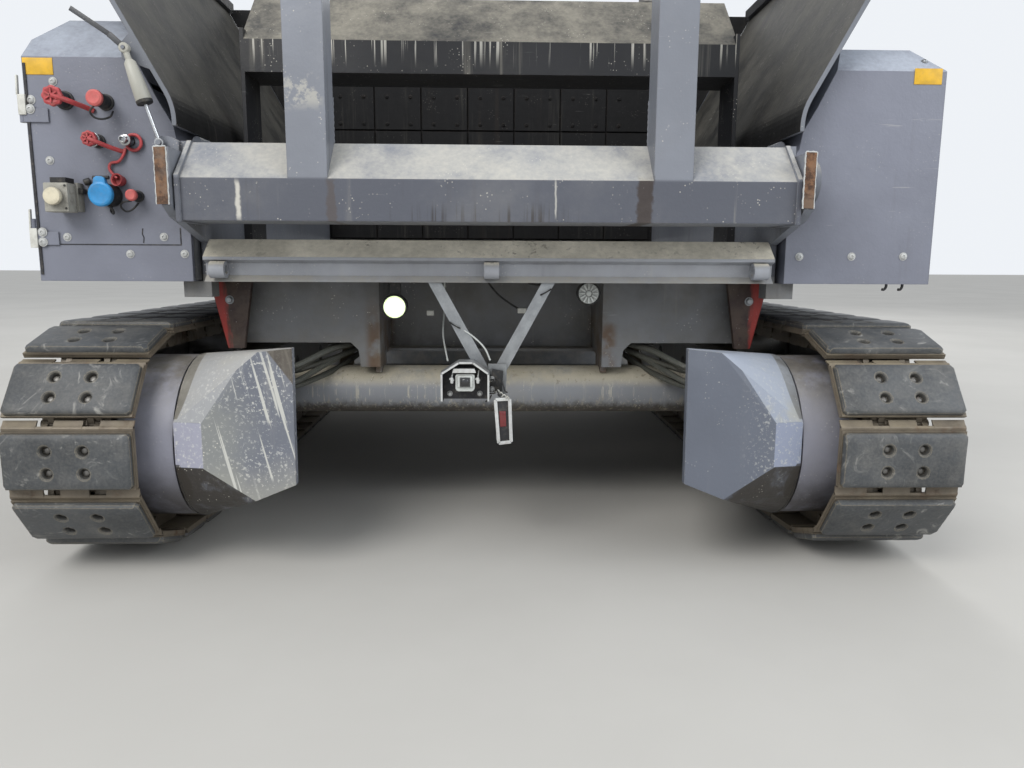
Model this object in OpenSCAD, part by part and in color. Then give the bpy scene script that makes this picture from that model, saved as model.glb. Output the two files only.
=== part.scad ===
// Tracked asphalt paver: hopper and gate at the front (-Y), screed at the rear (+Y).
// The stations along Y below are counted from the front face of the tracks, then the
// whole machine is shifted so that the origin is at the middle of its footprint.

/* [Machine] */
// Width over the tracks and over the side cabinets
machine_w = 2550; // [2450:10:2650]
// Underside of the deck, the cabinets and the hood above the ground
deck_z = 814; // [800:2:830]
// Thickness of the deck plate
deck_t = 20; // [15:1:25]
// Station where the deck ends, above the augers
deck_end = 3740; // [3700:5:3760]

/* [Tracks] */
// Width of the rubber pads and their shoes
pad_w = 340; // [300:5:340]
// Length of one pad along the track
pad_l = 148; // [140:1:162]
// Thickness of one pad
pad_t = 26; // [20:1:30]
// Thickness of one shoe plate
shoe_t = 10; // [8:0.5:12]
// Distance from one chain pin to the next
link_pitch = 168; // [166:0.5:171]
// Links in one straight run between the sprocket and the idler
run_links = 16; // [14:2:16]
// Height of the sprocket's and the idler's axis
wheel_z = 360; // [355:1:370]
// Height of the chain rail on the shoe's side of the pins
rail_out = 29; // [26:1:32]
// Height of the chain rail on the rollers' side of the pins
rail_in = 35; // [30:1:38]
// Thickness of one chain rail
rail_t = 34; // [28:1:36]
// Half the space between the two chain rails
rail_gap = 43; // [40:1:46]
// Radius of the chain's bushings
bushing_r = 20; // [16:1:22]
// Radius of the lower rollers
roller_r = 70; // [60:1:75]
// Radius of the carrier rollers on top
carrier_r = 45; // [38:1:50]

/* [Drives] */
// Radius of the gearbox drum
drum_r = 238; // [228:1:242]
// Length of the gearbox drum inside the track frame
drum_l = 130; // [110:5:150]
// Length of the motor guard from the drum to its inner end
guard_l = 335; // [300:5:360]
// How far the motor guard's face stands in front of the drum
guard_reach = 20; // [15:1:26]
// Radius of the cross tubes
tube_r = 78; // [70:1:84]
// Height of the cross tubes' axis
tube_z = 451; // [440:1:460]
// Distance of each cross tube from the axis of its sprocket or idler
tube_back = 283; // [281:1:290]

/* [Hopper] */
// Distance of the cheeks' inner face from the machine's middle
cheek_x = 812; // [800:2:812]
// Thickness of the cheek plates
cheek_t = 24; // [18:1:28]
// Top of the cheek plates
cheek_top = 1190; // [1180:2:1196]
// Rear end of the hopper, where its back wall stands
hopper_end = 1990; // [1985:1:1996]
// Height of the wing hinges
wing_axis_z = 1210; // [1208:1:1214]
// Angle of the open wings from the vertical
wing_flare = 28.5; // [26:0.5:29]
// Radius of the bend at the foot of a wing
wing_bend_r = 160; // [120:5:200]
// Thickness of the wing plate
wing_t = 12; // [8:1:14]
// Distance of the open wings' rim from the machine's middle
wing_rim_x = 1256; // [1200:2:1258]
// Station of the wings' front edge
wing_front = 200; // [195:1:230]

/* [Gate] */
// Station of the gate's front face
gate_front = 77; // [70:1:90]
// Height of the gate beam's front face
gate_face_h = 107; // [95:1:115]
// Size of the sloped upper corner of the gate beam
gate_slope = 101; // [85:1:105]
// Depth of the gate beam from front to back
gate_depth = 190; // [170:1:195]
// Underside of the gate beam
gate_low = 975; // [970:1:990]
// Height of the gate's pivot axis
gate_axis_z = 1091; // [1085:1:1095]
// Station of the gate's pivot axis
gate_axis_y = 190; // [180:1:195]
// Width of the two square posts
post_w = 102; // [80:1:120]
// Distance of each post's middle from the machine's middle
post_x = 471; // [400:1:520]
// Top of the gate's top rail
gate_top = 2080; // [1900:10:2150]

/* [Cabinets] */
// Station of the cabinets' front
cab_front = 270; // [270:1:280]
// Station of the cabinets' rear
cab_rear = 1840; // [1800:5:1860]
// Top edge of the left cabinet's front plate
cab_left_top = 1417; // [1400:1:1430]
// Rise of the left cabinet's front roof slope
cab_left_slope = 130; // [100:1:140]
// Top edge of the right tank's front plate
tank_top = 1405; // [1390:1:1420]
// Rise of the right tank's front roof slope
tank_slope = 75; // [60:1:100]
// Thickness of the cabinet walls
cab_wall = 14; // [10:1:18]

/* [Hood and platform] */
// Station of the hood's front
hood_front = 2012; // [2010:1:2030]
// Station of the hood's rear
hood_rear = 3060; // [3000:5:3060]
// Top of the hood
hood_top = 1900; // [1850:5:1950]
// Thickness of the hood's walls
hood_t = 20; // [15:1:25]
// Top of the platform floor
floor_z = 1350; // [1320:5:1380]
// Top of the railings
rail_top = 2350; // [2300:10:2400]
// Station of the platform's rear edge
floor_rear = 4240; // [4220:5:4250]
// Top of the canopy
canopy_top = 3250; // [3150:10:3300]

/* [Screed] */
// Station of the tow pins
tow_y = 1915; // [1900:1:1930]
// Height of the tow pins
tow_z = 480; // [470:1:490]
// Thickness of the tow arms
arm_t = 60; // [50:1:70]
// Height of the tow arms
arm_h = 170; // [150:5:190]
// Station of the screed's front
screed_front = 4270; // [4262:1:4290]
// Length of the main screed along the machine
screed_l = 430; // [400:5:450]
// Length of the extending screeds along the machine
ext_l = 330; // [300:5:350]
// Height of the screed's body
screed_h = 330; // [300:5:350]
// Radius of the auger flights
auger_r = 180; // [160:5:185]
// Pitch of the auger flights
auger_pitch = 280; // [240:10:320]

/* [Hidden] */
$fn = 48;
fit = 0.3;                       // running gap between pieces that seat on each other
half_w = machine_w / 2;
deck_top = deck_z + deck_t;
tunnel_top = deck_top + 180;
link_turn = 36;                  // each link turns this far round the sprocket
pitch_r = link_pitch / (2 * sin(link_turn / 2));
stack = rail_out - 0.5 + shoe_t + pad_t;
wheel_y = pitch_r * cos(link_turn / 2) + stack;
idler_y = wheel_y + run_links * link_pitch;
track_rear = idler_y + wheel_y;
track_x = half_w - pad_w / 2;
run_drop = wheel_z - pitch_r - stack;
frame_x = rail_gap + rail_t + 18;  // inner face of the track frame's side plates
frame_t = 20;
drive_plate_x = track_x - frame_x - frame_t;
drum_x = drive_plate_x - drum_l;   // inner face of the gearbox drum
guard_x = drum_x - guard_l;        // inner end of the motor guard
guard_gap = 6;                     // groove between the guard's rim and the drum
guard_face = wheel_y - drum_r - guard_reach;
guard_lip = 24;                    // straight edge behind the guard's face
guard_back = wheel_y + 170;        // station of the guard's back
guard_taper = 125;                 // how far its back stands in from its inner end
beam_x = 359;                    // inner face of the chassis beams
beam_t = 64;
beam_low = 614;
tube_front_y = wheel_y + tube_back;
tube_rear_y = idler_y - tube_back;
web_t = 20;
sill_back = 310;
barrel_r = 24;
barrel_w = 43;
barrel_y = 247;
barrel_z = 848;
barrel_bore_r = 12.5;
wing_axis_x = cheek_x + cheek_t + 6;
wing_foot_z = wing_axis_z + 19;
gate_x = cheek_x - 5;
gate_plate_t = 12;
gate_pin_r = 25;
arm_x = half_w + 25;             // inner face of the tow arms
arm_mid = arm_x + arm_t / 2;
lift_y = 4000;                   // upper pin of the screed's lift cylinders
lift_z = 1250;
lift_eye_y = 4050;               // lower pin, on the tow arm
lift_pin_r = 10;
lift_eye_z = tow_z + arm_h / 2 + 45;
auger_y = 3960;
auger_z = 430;
auger_pin_r = 20;
ext_front = screed_front + screed_l + 10;
screed_rear = ext_front + ext_l + 40;
wing_cyl_y = 1925;
wing_base = [cheek_x + cheek_t + 69, 900];
wing_eye = [wing_axis_x + 276, wing_axis_z + 362];
strut_foot = [-(cheek_x + cheek_t + 43), 1180];
strut_eye = [-(wing_axis_x + 112), wing_axis_z + 207];
strut_y = 176;
wing_pin_r = 9;
wing_rod_r = 22;
strut_pin_r = 5;
machine_rear = screed_rear;
y_shift = -machine_rear / 2;     // puts the origin at the middle of the footprint

grey = "#6d7079";
dark = "#3a3c40";
rubber_black = "#2c2e30";
steel = "#8b8a86";
rust = "#7d5f48";
red = "#b3392f";
zinc = "#b9bcc0";

// A box from its low to its high corner
module box(x0, x1, y0, y1, z0, z1) {
  translate([x0, y0, z0]) cube([x1 - x0, y1 - y0, z1 - z0]);
}

// A box on each side of the machine
module twin_box(x0, x1, y0, y1, z0, z1) {
  for (s = [-1, 1]) box(min(s * x0, s * x1), max(s * x0, s * x1), y0, y1, z0, z1);
}

// An outline in Y and Z, drawn out along X
module along_x(x0, x1) {
  translate([x0, 0, 0]) rotate([90, 0, 90]) linear_extrude(x1 - x0) children();
}

// An outline in X and Z, drawn out along Y
module along_y(y0, y1) {
  translate([0, y1, 0]) rotate([90, 0, 0]) linear_extrude(y1 - y0) children();
}

// Round bars along each axis
module bar_x(r, x0, x1, y, z) {
  translate([x0, y, z]) rotate([0, 90, 0]) cylinder(r = r, h = x1 - x0);
}
module bar_y(r, x, y0, y1, z) {
  translate([x, y0, z]) rotate([-90, 0, 0]) cylinder(r = r, h = y1 - y0);
}
module bar_z(r, x, y, z0, z1) {
  translate([x, y, z0]) cylinder(r = r, h = z1 - z0);
}

// A round bar between two points
module rod_between(a, b, r) {
  d = b - a;
  l = norm(d);
  translate(a) rotate([0, acos(d[2] / l), atan2(d[1], d[0])]) cylinder(r = r, h = l);
}

// The left side is drawn as the right side's mirror image
module on_side(s) {
  if (s > 0) children(); else mirror([1, 0, 0]) children();
}

// The chain's pins, from the top of the sprocket forward, down and round the idler
function wrap(y, start) =
  [for (k = [0:5]) [y + pitch_r * cos(start + link_turn * k),
                    wheel_z + pitch_r * sin(start + link_turn * k)]];
function run_z(j) = wheel_z - pitch_r - run_drop * min(1, min(j, run_links - j) / 2);
pins = concat(
  wrap(wheel_y, 90),
  [for (j = [1:run_links - 1]) [wheel_y + j * link_pitch, run_z(j)]],
  wrap(idler_y, 270),
  [for (j = [1:run_links - 1]) [idler_y - j * link_pitch, wheel_z + pitch_r]]
);
n_links = len(pins);
function link_dir(i) =
  let (d = pins[(i + 1) % n_links] - pins[i]) d / norm(d);
function link_out(i) = [link_dir(i)[1], -link_dir(i)[0]];
function pin_out(i) =
  let (n = link_out(i) + link_out((i + n_links - 1) % n_links)) n / norm(n);

// Outline of one chain rail all the way round
function rail_outer() = [for (i = [0:n_links - 1])
  each [pins[i] + rail_out * link_out(i),
        pins[(i + 1) % n_links] + rail_out * link_out(i)]];
function rail_inner() = [for (i = [0:n_links - 1]) pins[i] - rail_in * pin_out(i)];

// Points of the shoes' ring: steps along each link and the height over its pin line
pad_taper = 5;
shoe_base = rail_out - 0.5;
shoe_steps = [
  [-link_pitch / 2, shoe_base + shoe_t],
  [-pad_l / 2, shoe_base + shoe_t],
  [-pad_l / 2 + pad_taper, stack],
  [pad_l / 2 - pad_taper, stack],
  [pad_l / 2, shoe_base + shoe_t],
  [link_pitch / 2, shoe_base + shoe_t]
];
function on_link(i, p) =
  (pins[i] + pins[(i + 1) % n_links]) / 2 + p[0] * link_dir(i) + p[1] * link_out(i);
function ring_outer() = [for (i = [0:n_links - 1]) for (p = shoe_steps) on_link(i, p)];
function ring_inner() = [for (i = [0:n_links - 1])
  each [on_link(i, [-link_pitch / 2 + 2, shoe_base]), on_link(i, [link_pitch / 2 - 2, shoe_base])]];

// A closed band between an outer and an inner line, as wide as x0 to x1
module band(outer, inner, x0, x1) {
  a = len(outer);
  b = len(inner);
  along_x(x0, x1) polygon(concat(outer, inner), [[for (i = [0:a - 1]) i], [for (i = [0:b - 1]) a + i]]);
}

module track(s) {
  color(rubber_black) on_side(s) translate([track_x, 0, 0]) {
    for (side = [-1, 1]) {
      x0 = side > 0 ? rail_gap : -rail_gap - rail_t;
      band(rail_outer(), rail_inner(), x0, x0 + rail_t);
    }
    band(ring_outer(), ring_inner(), -pad_w / 2, pad_w / 2);
  }
}

// Side plates, rollers and idler between the two ends of one track
module track_frame(s) {
  low = stack + rail_in + fit + roller_r;
  high = wheel_z + pitch_r - rail_in - fit - carrier_r;
  idler_r = (pitch_r - rail_in) * cos(link_turn / 2) - 2.5;
  front = wheel_y + drum_r + 52;
  rear = idler_y - idler_r - 40;
  color(grey) on_side(s) translate([track_x, 0, 0]) {
    for (side = [-1, 1]) {
      x0 = side > 0 ? frame_x : -frame_x - frame_t;
      along_x(x0, x0 + frame_t) difference() {
        polygon([
          [front, low - 45], [front + 60, low - 60], [rear - 60, low - 60], [rear, low - 30],
          [idler_y + 70, wheel_z - 60], [idler_y + 70, wheel_z + 60],
          [rear, wheel_z + 120], [front + 40, wheel_z + 120], [front, wheel_z + 60]
        ]);
        for (k = [0:3])
          translate([front + 260 + k * (rear - front - 520) / 3, wheel_z - 10]) circle(r = 48);
      }
    }
    box(-frame_x, frame_x, front + 40, rear, wheel_z + 100, wheel_z + 118);
    for (k = [0:4]) {
      y = front + 130 + k * (rear - front - 240) / 4;
      for (side = [-1, 1])
        bar_x(roller_r, side > 0 ? 20 : -rail_gap - rail_t - 6,
              side > 0 ? rail_gap + rail_t + 6 : -20, y, low);
      bar_x(roller_r - 18, -frame_x, frame_x, y, low);
    }
    for (y = [front + 520, rear - 480]) {
      bar_x(carrier_r, -rail_gap - rail_t - 6, rail_gap + rail_t + 6, y, high);
      bar_x(carrier_r - 20, -frame_x, frame_x, y, high);
      twin_box(frame_x - 14, frame_x, y - 30, y + 30, wheel_z + 110, high);
    }
    bar_x(idler_r, -rail_gap - rail_t - 6, rail_gap + rail_t + 6, idler_y, wheel_z, $fn = 64);
    bar_x(60, -frame_x, frame_x, idler_y, wheel_z);
    // The inner plate runs forward round the drive
    along_x(-frame_x - frame_t, -frame_x) difference() {
      union() {
        translate([wheel_y, wheel_z]) circle(r = drum_r);
        translate([wheel_y, wheel_z - 150]) square([front - wheel_y + 10, 300]);
      }
      translate([wheel_y, wheel_z]) circle(r = 120);
    }
  }
}

// Toothed wheel, with its hub and the gearbox drum
module sprocket(s) {
  color(steel) on_side(s) {
    translate([track_x, 0, 0]) {
      along_x(-22, 22) difference() {
        translate([wheel_y, wheel_z]) circle(r = pitch_r + 6, $fn = 80);
        for (k = [0:9])
          translate([wheel_y + pitch_r * cos(link_turn * (k + 0.5)),
                     wheel_z + pitch_r * sin(link_turn * (k + 0.5))])
            circle(r = bushing_r + fit, $fn = 32);
      }
      bar_x(170, -frame_x + 10, frame_x - 30, wheel_y, wheel_z);
      bar_x(118, -frame_x - frame_t - 2, -frame_x + 12, wheel_y, wheel_z);
    }
    // The drum is flat at the back, where the cross tube passes
    difference() {
      bar_x(drum_r, drum_x, drive_plate_x, wheel_y, wheel_z, $fn = 80);
      box(drum_x - 1, drive_plate_x + 1, tube_front_y - tube_r - 12, wheel_y + drum_r + 1,
          wheel_z - drum_r, wheel_z + drum_r);
    }
    bar_x(drum_r - 70, drum_x - guard_gap, drum_x, wheel_y, wheel_z);
  }
}

// Faceted sheet cover of one travel motor: a six-sided face in front, a round rim
// with a short upright edge at the drum, and a smaller back where the hoses go in
module motor_guard(s) {
  function at_guard(list) = [for (p = list) [guard_x + p[0], wheel_z + p[1]]];
  taper = guard_taper;
  rim_t = 12;
  rim_r = drum_r + 4;
  rim_x = drum_x - guard_gap - rim_t;
  color(grey) on_side(s) hull() {
    along_y(guard_face, guard_face + guard_lip)
      polygon(at_guard([[0, 286], [90, 276], [246, 84], [251, -39], [113, -131], [3, -86]]));
    along_y(guard_back - 5, guard_back)
      polygon(at_guard([[taper, 190], [250, 100], [250, -62], [taper + 30, -100], [taper, -60]]));
    intersection() {
      bar_x(rim_r, rim_x, rim_x + rim_t, wheel_y, wheel_z, $fn = 40);
      box(rim_x, rim_x + rim_t, 0, guard_back, 0, wheel_z + rim_r);
    }
    box(rim_x, rim_x + rim_t, wheel_y - rim_r, wheel_y - rim_r + 10, wheel_z - 40, wheel_z + 80);
  }
}

module axle_tubes() {
  color(grey) for (y = [tube_front_y, tube_rear_y]) {
    bar_x(tube_r, -drive_plate_x, drive_plate_x, y, tube_z, $fn = 64);
  }
}

// One arched cross web of the chassis, standing on a cross tube
module arched_web(y0, y1) {
  foot = 64;
  along_y(y0, y1) for (s = [-1, 1])
    polygon([for (p = [
      [beam_x, 535], [beam_x + foot, 535], [beam_x + foot + 6, beam_low - 24],
      [beam_x + foot + 30, beam_low], [cheek_x + 15, beam_low], [cheek_x + 15, deck_z],
      [beam_x, deck_z]]) [s * p[0], p[1]]]);
}

module chassis() {
  color(grey) difference() {
    union() {
      box(-cheek_x - cheek_t, cheek_x + cheek_t, sill_back, deck_end, deck_z, deck_top);
      arched_web(tube_front_y - 88, tube_front_y - 88 + web_t);
      arched_web(tube_rear_y + 68, tube_rear_y + 68 + web_t);
      twin_box(beam_x, beam_x + 20, tube_front_y - 88, tube_rear_y + 88, beam_low - 50, deck_z);
      for (y = [tube_front_y, tube_rear_y])
        twin_box(beam_x, beam_x + 20, y - 60, y + 60, tube_z + 0.8 * tube_r, deck_z);
      box(-beam_x, beam_x, tube_front_y + 110, tube_rear_y - 110, beam_low - 50, beam_low - 40);
      box(-beam_x, beam_x, tube_front_y + 200, tube_front_y + 215, beam_low - 50, deck_z);
      box(-beam_x, beam_x, tube_rear_y - 215, tube_rear_y - 200, beam_low - 50, deck_z);
      // Rear outriggers under the platform
      twin_box(beam_x, beam_x + 20, tube_rear_y, deck_end - 60, 700, deck_z);
      // Shelves that carry the cabinets and the hood over the tracks
      twin_box(cheek_x, cheek_x + 80, cab_front + 40, cab_front + 100, deck_z - 46, deck_z);
      for (y = [cab_rear - 120, hood_front + 60, hood_rear - 140])
        twin_box(cheek_x, half_w - 30, y, y + 60, deck_z - 60, deck_z);
      // Walls and roof of the conveyor's tunnel
      twin_box(cheek_x, cheek_x + cheek_t, hood_front + 2, deck_end - 20, deck_top, tunnel_top - 2);
      box(-cheek_x - cheek_t, cheek_x + cheek_t, hood_front + 2, deck_end - 20,
          tunnel_top - 14, tunnel_top - 2);
    }
    for (y = [tube_front_y, tube_rear_y])
      bar_x(tube_r, -cheek_x - 30, cheek_x + 30, y, tube_z, $fn = 64);
  }
}

// Red gussets under the deck at the four lower corners
module tie_brackets() {
  low = 602;
  plate = 20;
  color(red) for (s = [-1, 1]) for (y = [tube_front_y - 147, tube_rear_y + 127])
    along_y(y, y + plate) polygon([
      [s * (cheek_x - 70), deck_z], [s * (cheek_x + 60), deck_z],
      [s * (cheek_x + 12), low], [s * (cheek_x - 37), low]]);
}

// Sill under the hopper's mouth, with the three barrels that take a flap's rod
module front_sill() {
  color(grey) difference() {
    union() {
      along_x(-cheek_x, cheek_x) polygon([
        [sill_back, 934], [sill_back - 60, 884], [sill_back - 60, 875],
        [sill_back - 38, 867], [sill_back - 36, 832], [sill_back - 56, deck_z], [sill_back, deck_z]]);
      for (x = [-768, 0, 768]) bar_x(barrel_r, x - barrel_w / 2, x + barrel_w / 2, barrel_y, barrel_z);
      for (x = [-768, 0, 768])
        box(x - barrel_w / 2, x + barrel_w / 2, barrel_y, sill_back - 30, barrel_z - 12, barrel_z + 12);
    }
    bar_x(barrel_bore_r, -cheek_x, cheek_x, barrel_y, barrel_z);
  }
}

// Cheek plates with their noses for the gate, and the floor under the conveyor
module hopper_base() {
  color(grey) {
    for (s = [-1, 1]) {
      x0 = s > 0 ? cheek_x : -cheek_x - cheek_t;
      along_x(x0, x0 + cheek_t) difference() {
        polygon([
          [sill_back, deck_top], [hopper_end - 2, deck_top], [hopper_end - 2, cheek_top],
          [wing_front + 4, cheek_top], [wing_front + 4, 1155], [60, 1155], [60, 1011],
          [100, 985], [sill_back, 925]]);
        translate([gate_axis_y, gate_axis_z]) circle(r = gate_pin_r);
      }
      // Hinge barrels of the wing along the cheek's top, with the pin through them
      for (k = [0:3]) {
        y = wing_front + 140 + k * 440;
        bar_y(13, s * wing_axis_x, y, y + 100, wing_axis_z);
        bar_y(6, s * wing_axis_x, y, y + 166, wing_axis_z);
        twin_box(cheek_x + 4, wing_axis_x, y, y + 100, cheek_top, wing_axis_z);
      }
      // Ear and pin of the wing's cylinder
      along_y(wing_cyl_y + 22, wing_cyl_y + 34) polygon([
        [s * (cheek_x + cheek_t), wing_base[1] - 50], [s * (cheek_x + cheek_t), wing_base[1] + 17],
        [s * (wing_base[0] + 28), wing_base[1] + 17], [s * (wing_base[0] + 28), wing_base[1] - 28]]);
      bar_y(13.7, s * wing_base[0], wing_cyl_y - 24, wing_cyl_y + 22, wing_base[1]);
    }
    // Ear and pin of the thin strut
    along_y(192, 216) polygon([
      [-cheek_x - cheek_t, 1152], [-cheek_x - cheek_t, 1188], [strut_foot[0] + 20, 1200],
      [strut_foot[0] - 20, 1200], [strut_foot[0] - 20, 1166], [strut_foot[0], 1152]]);
    bar_y(6.7, strut_foot[0], strut_y - 12, 192, strut_foot[1]);
    box(-cheek_x, cheek_x, sill_back, hopper_end - 2, deck_top, deck_top + 12);
  }
}

// Cross beam inside the hopper, on two stanchions bolted to the cheeks
module hopper_bridge() {
  y0 = 633;
  low = 1467;
  slope = 182;
  color(grey) {
    along_x(-cheek_x + 18, cheek_x - 18) polygon([
      [y0, low], [y0, low + 100], [y0 + slope, low + 100 + slope],
      [y0 + slope + 14, low + 86 + slope], [y0 + slope + 14, low]]);
    twin_box(cheek_x - 26, cheek_x - 13, y0, y0 + 160, deck_top + 26, low + 133);
    twin_box(cheek_x - 26, cheek_x, y0, y0 + 160, deck_top + 26, cheek_top - 20);
  }
}

// Back wall of the hopper, with its rows of bolted wear plates
module hopper_back() {
  rim = 2060;
  low = deck_top + 151;
  half = cheek_x + 30;
  plate_w = 228;
  plate_h = 262;
  slope = tan(wing_flare);
  color(dark) {
    along_y(hopper_end, hopper_end + 20) polygon([
      [-half, low], [half, low], [half, wing_foot_z + 60],
      [half + 20 + (rim - 1316) * slope, rim], [-half - 20 - (rim - 1316) * slope, rim],
      [-half, wing_foot_z + 60]]);
    for (row = [0:3]) for (k = [0:6])
      translate([(k - 3.5) * plate_w, hopper_end - 10, low + 5 + row * plate_h])
        cube([plate_w - 8, 10, plate_h - 8]);
    twin_box(half - 30, half, hopper_end, hopper_end + 20, deck_top, low);
  }
}

// Two slat chains that carry the mix back to the augers
module conveyor() {
  z0 = deck_top + 12;
  color(steel) for (s = [-1, 1]) {
    for (x = [60, 740])
      box(min(s * x, s * (x + 30)), max(s * x, s * (x + 30)), 340, deck_end - 40, z0, z0 + 30);
    for (y = [360:220:deck_end - 100])
      box(min(s * 60, s * 770), max(s * 60, s * 770), y, y + 40, z0 + 4, z0 + 44);
  }
}

// Folding front gate: chamfered push beam, two posts and a top rail
module gate_frame() {
  y0 = gate_front;
  y1 = gate_front + gate_depth;
  color(grey) difference() {
    union() {
      along_x(-gate_x + gate_plate_t, gate_x - gate_plate_t) polygon([
        [y0, gate_low], [y1, gate_low], [y1, gate_low + gate_face_h + gate_slope],
        [y0 + gate_slope, gate_low + gate_face_h + gate_slope], [y0, gate_low + gate_face_h]]);
      for (s = [-1, 1]) {
        x0 = s > 0 ? gate_x - gate_plate_t : -gate_x;
        along_x(x0, x0 + gate_plate_t) polygon([
          [y0 - 8, gate_low - 4], [y1, gate_low - 4], [y1, gate_low + 212],
          [y0 + 96, gate_low + 212], [y0 - 8, gate_low + gate_face_h + 6]]);
        box(s * post_x - post_w / 2, s * post_x + post_w / 2, y0, y0 + gate_slope - 1,
            gate_low + gate_face_h, gate_top - 100);
      }
      box(-cheek_x + 80, cheek_x - 80, y0, y0 + gate_slope - 1, gate_top - 100, gate_top);
    }
    for (s = [-1, 1])
      bar_x(gate_pin_r + fit, s > 0 ? gate_x - 60 : -gate_x - 1, s > 0 ? gate_x + 1 : -gate_x + 60,
            gate_axis_y, gate_axis_z);
  }
}

// Round pin heads outside the cheeks' noses
module gate_pins() {
  color(zinc) for (s = [-1, 1]) on_side(s) {
    bar_x(58, cheek_x + cheek_t, cheek_x + cheek_t + 46, gate_axis_y, gate_axis_z);
    bar_x(gate_pin_r, gate_x - 58, cheek_x + cheek_t, gate_axis_y, gate_axis_z);
  }
}

// Section of one wing: foot, bend and flared plate
function wing_line(off) =
  let (
    cx = wing_axis_x + wing_bend_r,
    cz = wing_foot_z + 14,
    r = wing_bend_r - off,
    bend = [for (t = [0:5]) [cx - r * cos(wing_flare * t / 5), cz + r * sin(wing_flare * t / 5)]],
    l = (wing_rim_x - bend[5][0] + off) / sin(wing_flare)
  )
  concat([[wing_axis_x + off, wing_foot_z]], bend,
         [[bend[5][0] + l * sin(wing_flare) - off * 0.1, bend[5][1] + l * cos(wing_flare) - off * 0.5]]);
function flip(list) = [for (i = [len(list) - 1:-1:0]) list[i]];
// Distance of the open wing's inner face from the machine's middle at a height
function wing_x(z) =
  wing_axis_x + wing_bend_r * (1 - cos(wing_flare))
  + (z - wing_foot_z - 14 - wing_bend_r * sin(wing_flare)) * tan(wing_flare);

module wing(s) {
  inner = wing_line(0);
  outer = wing_line(wing_t);
  rim = inner[len(inner) - 1];
  eye = wing_eye;
  rear = hopper_end - 16;
  color(grey) on_side(s) difference() {
    union() {
      along_y(wing_front, rear) polygon(concat(inner, flip(outer)));
      // Ribs and the rim rail on the outside
      for (k = [0:3])
        along_y(wing_front + 60 + k * 535, wing_front + 72 + k * 535) polygon([
          rim, [rim[0] + 8, rim[1] - 60], [rim[0] - 150, rim[1] - 420],
          [rim[0] - 225, rim[1] - 435]]);
      box(rim[0] - 24, rim[0] + 14, wing_front, rear, rim[1] - 6, rim[1] + 34);
      // Knuckles between the cheek's hinge barrels
      for (k = [0:3]) {
        y = wing_front + 244 + k * 440;
        bar_y(13, wing_axis_x, y, y + 56, wing_axis_z);
        box(wing_axis_x, wing_axis_x + wing_t, y, y + 56, wing_axis_z, wing_foot_z + 2);
      }
      // Lug and pin of the fold cylinder
      along_y(wing_cyl_y + 22, wing_cyl_y + 34) polygon([
        [wing_x(eye[1] - 70) + 4, eye[1] - 70], [eye[0] + 24, eye[1] - 24],
        [eye[0] + 24, eye[1] + 24], [wing_x(eye[1] + 120) + 4, eye[1] + 120]]);
      bar_y(wing_pin_r, eye[0], wing_cyl_y - 24, wing_cyl_y + 30, eye[1]);
      // Bracket and pin of the thin strut on the left wing
      if (s < 0) {
        along_y(wing_front, wing_front + 12) polygon([
          [wing_x(strut_eye[1] - 50) + 4, strut_eye[1] - 50],
          [-strut_eye[0] + 20, strut_eye[1] - 20], [-strut_eye[0] + 20, strut_eye[1] + 20],
          [wing_x(strut_eye[1] + 50) + 4, strut_eye[1] + 50]]);
        bar_y(strut_pin_r, -strut_eye[0], strut_y - 12, wing_front + 6, strut_eye[1]);
      }
    }
    for (k = [0:3])
      bar_y(6.3, wing_axis_x, wing_front + 240 + k * 440, wing_front + 305 + k * 440, wing_axis_z);
  }
}

// A cylinder that leans in a plane across the machine: its barrel and its rod
module cyl_barrel_xz(base, eye, y, r, rod_r, share) {
  d = eye - base;
  l = norm(d);
  translate([base[0], y, base[1]]) rotate([0, atan2(d[0], d[1]), 0]) difference() {
    union() {
      bar_y(26, 0, -18, 18, 0);
      bar_z(18, 0, 0, 20, 40);
      bar_z(r, 0, 0, 36, l * share);
    }
    bar_z(rod_r + fit, 0, 0, 60, l);
    bar_y(14, 0, -30, 30, 0);
  }
}
module cyl_rod_xz(base, eye, y, r, share) {
  d = eye - base;
  l = norm(d);
  translate([base[0], y, base[1]]) rotate([0, atan2(d[0], d[1]), 0]) difference() {
    union() {
      bar_y(26, 0, -18, 18, l);
      bar_z(r, 0, 0, l * share, l - 16);
    }
    translate([0, 0, l]) rotate([90, 0, 0]) cylinder(r = 14, h = 60, center = true);
  }
}
module wing_barrel(s) {
  color(dark)
    cyl_barrel_xz([s * wing_base[0], wing_base[1]], [s * wing_eye[0], wing_eye[1]],
                  wing_cyl_y, 34, wing_rod_r, 0.62);
}
module wing_rod(s) {
  color(zinc) on_side(s) cyl_rod_xz(wing_base, wing_eye, wing_cyl_y, wing_rod_r, 0.25);
}

// Thin strut at the front of the left wing: rod on the cheek, sleeve on the wing
module strut_rod() {
  d = strut_eye - strut_foot;
  color(zinc) translate([strut_foot[0], strut_y, strut_foot[1]])
    rotate([0, atan2(d[0], d[1]), 0]) difference() {
      union() {
        bar_z(5, 0, 0, 0, norm(d) * 0.7);
        bar_y(12, 0, -8, 8, 0);
      }
      bar_y(7, 0, -20, 20, 0);
    }
}
module strut_sleeve() {
  d = strut_eye - strut_foot;
  l = norm(d);
  color(steel) translate([strut_foot[0], strut_y, strut_foot[1]])
    rotate([0, atan2(d[0], d[1]), 0]) difference() {
      union() {
        bar_z(20, 0, 0, l * 0.42, l - 24);
        bar_z(8, 0, 0, l - 24, l - 8);
        bar_y(13, 0, -8, 8, l);
      }
      bar_z(5.3, 0, 0, 0, l - 34);
      bar_y(9, 0, -20, 20, l);
    }
}

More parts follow.
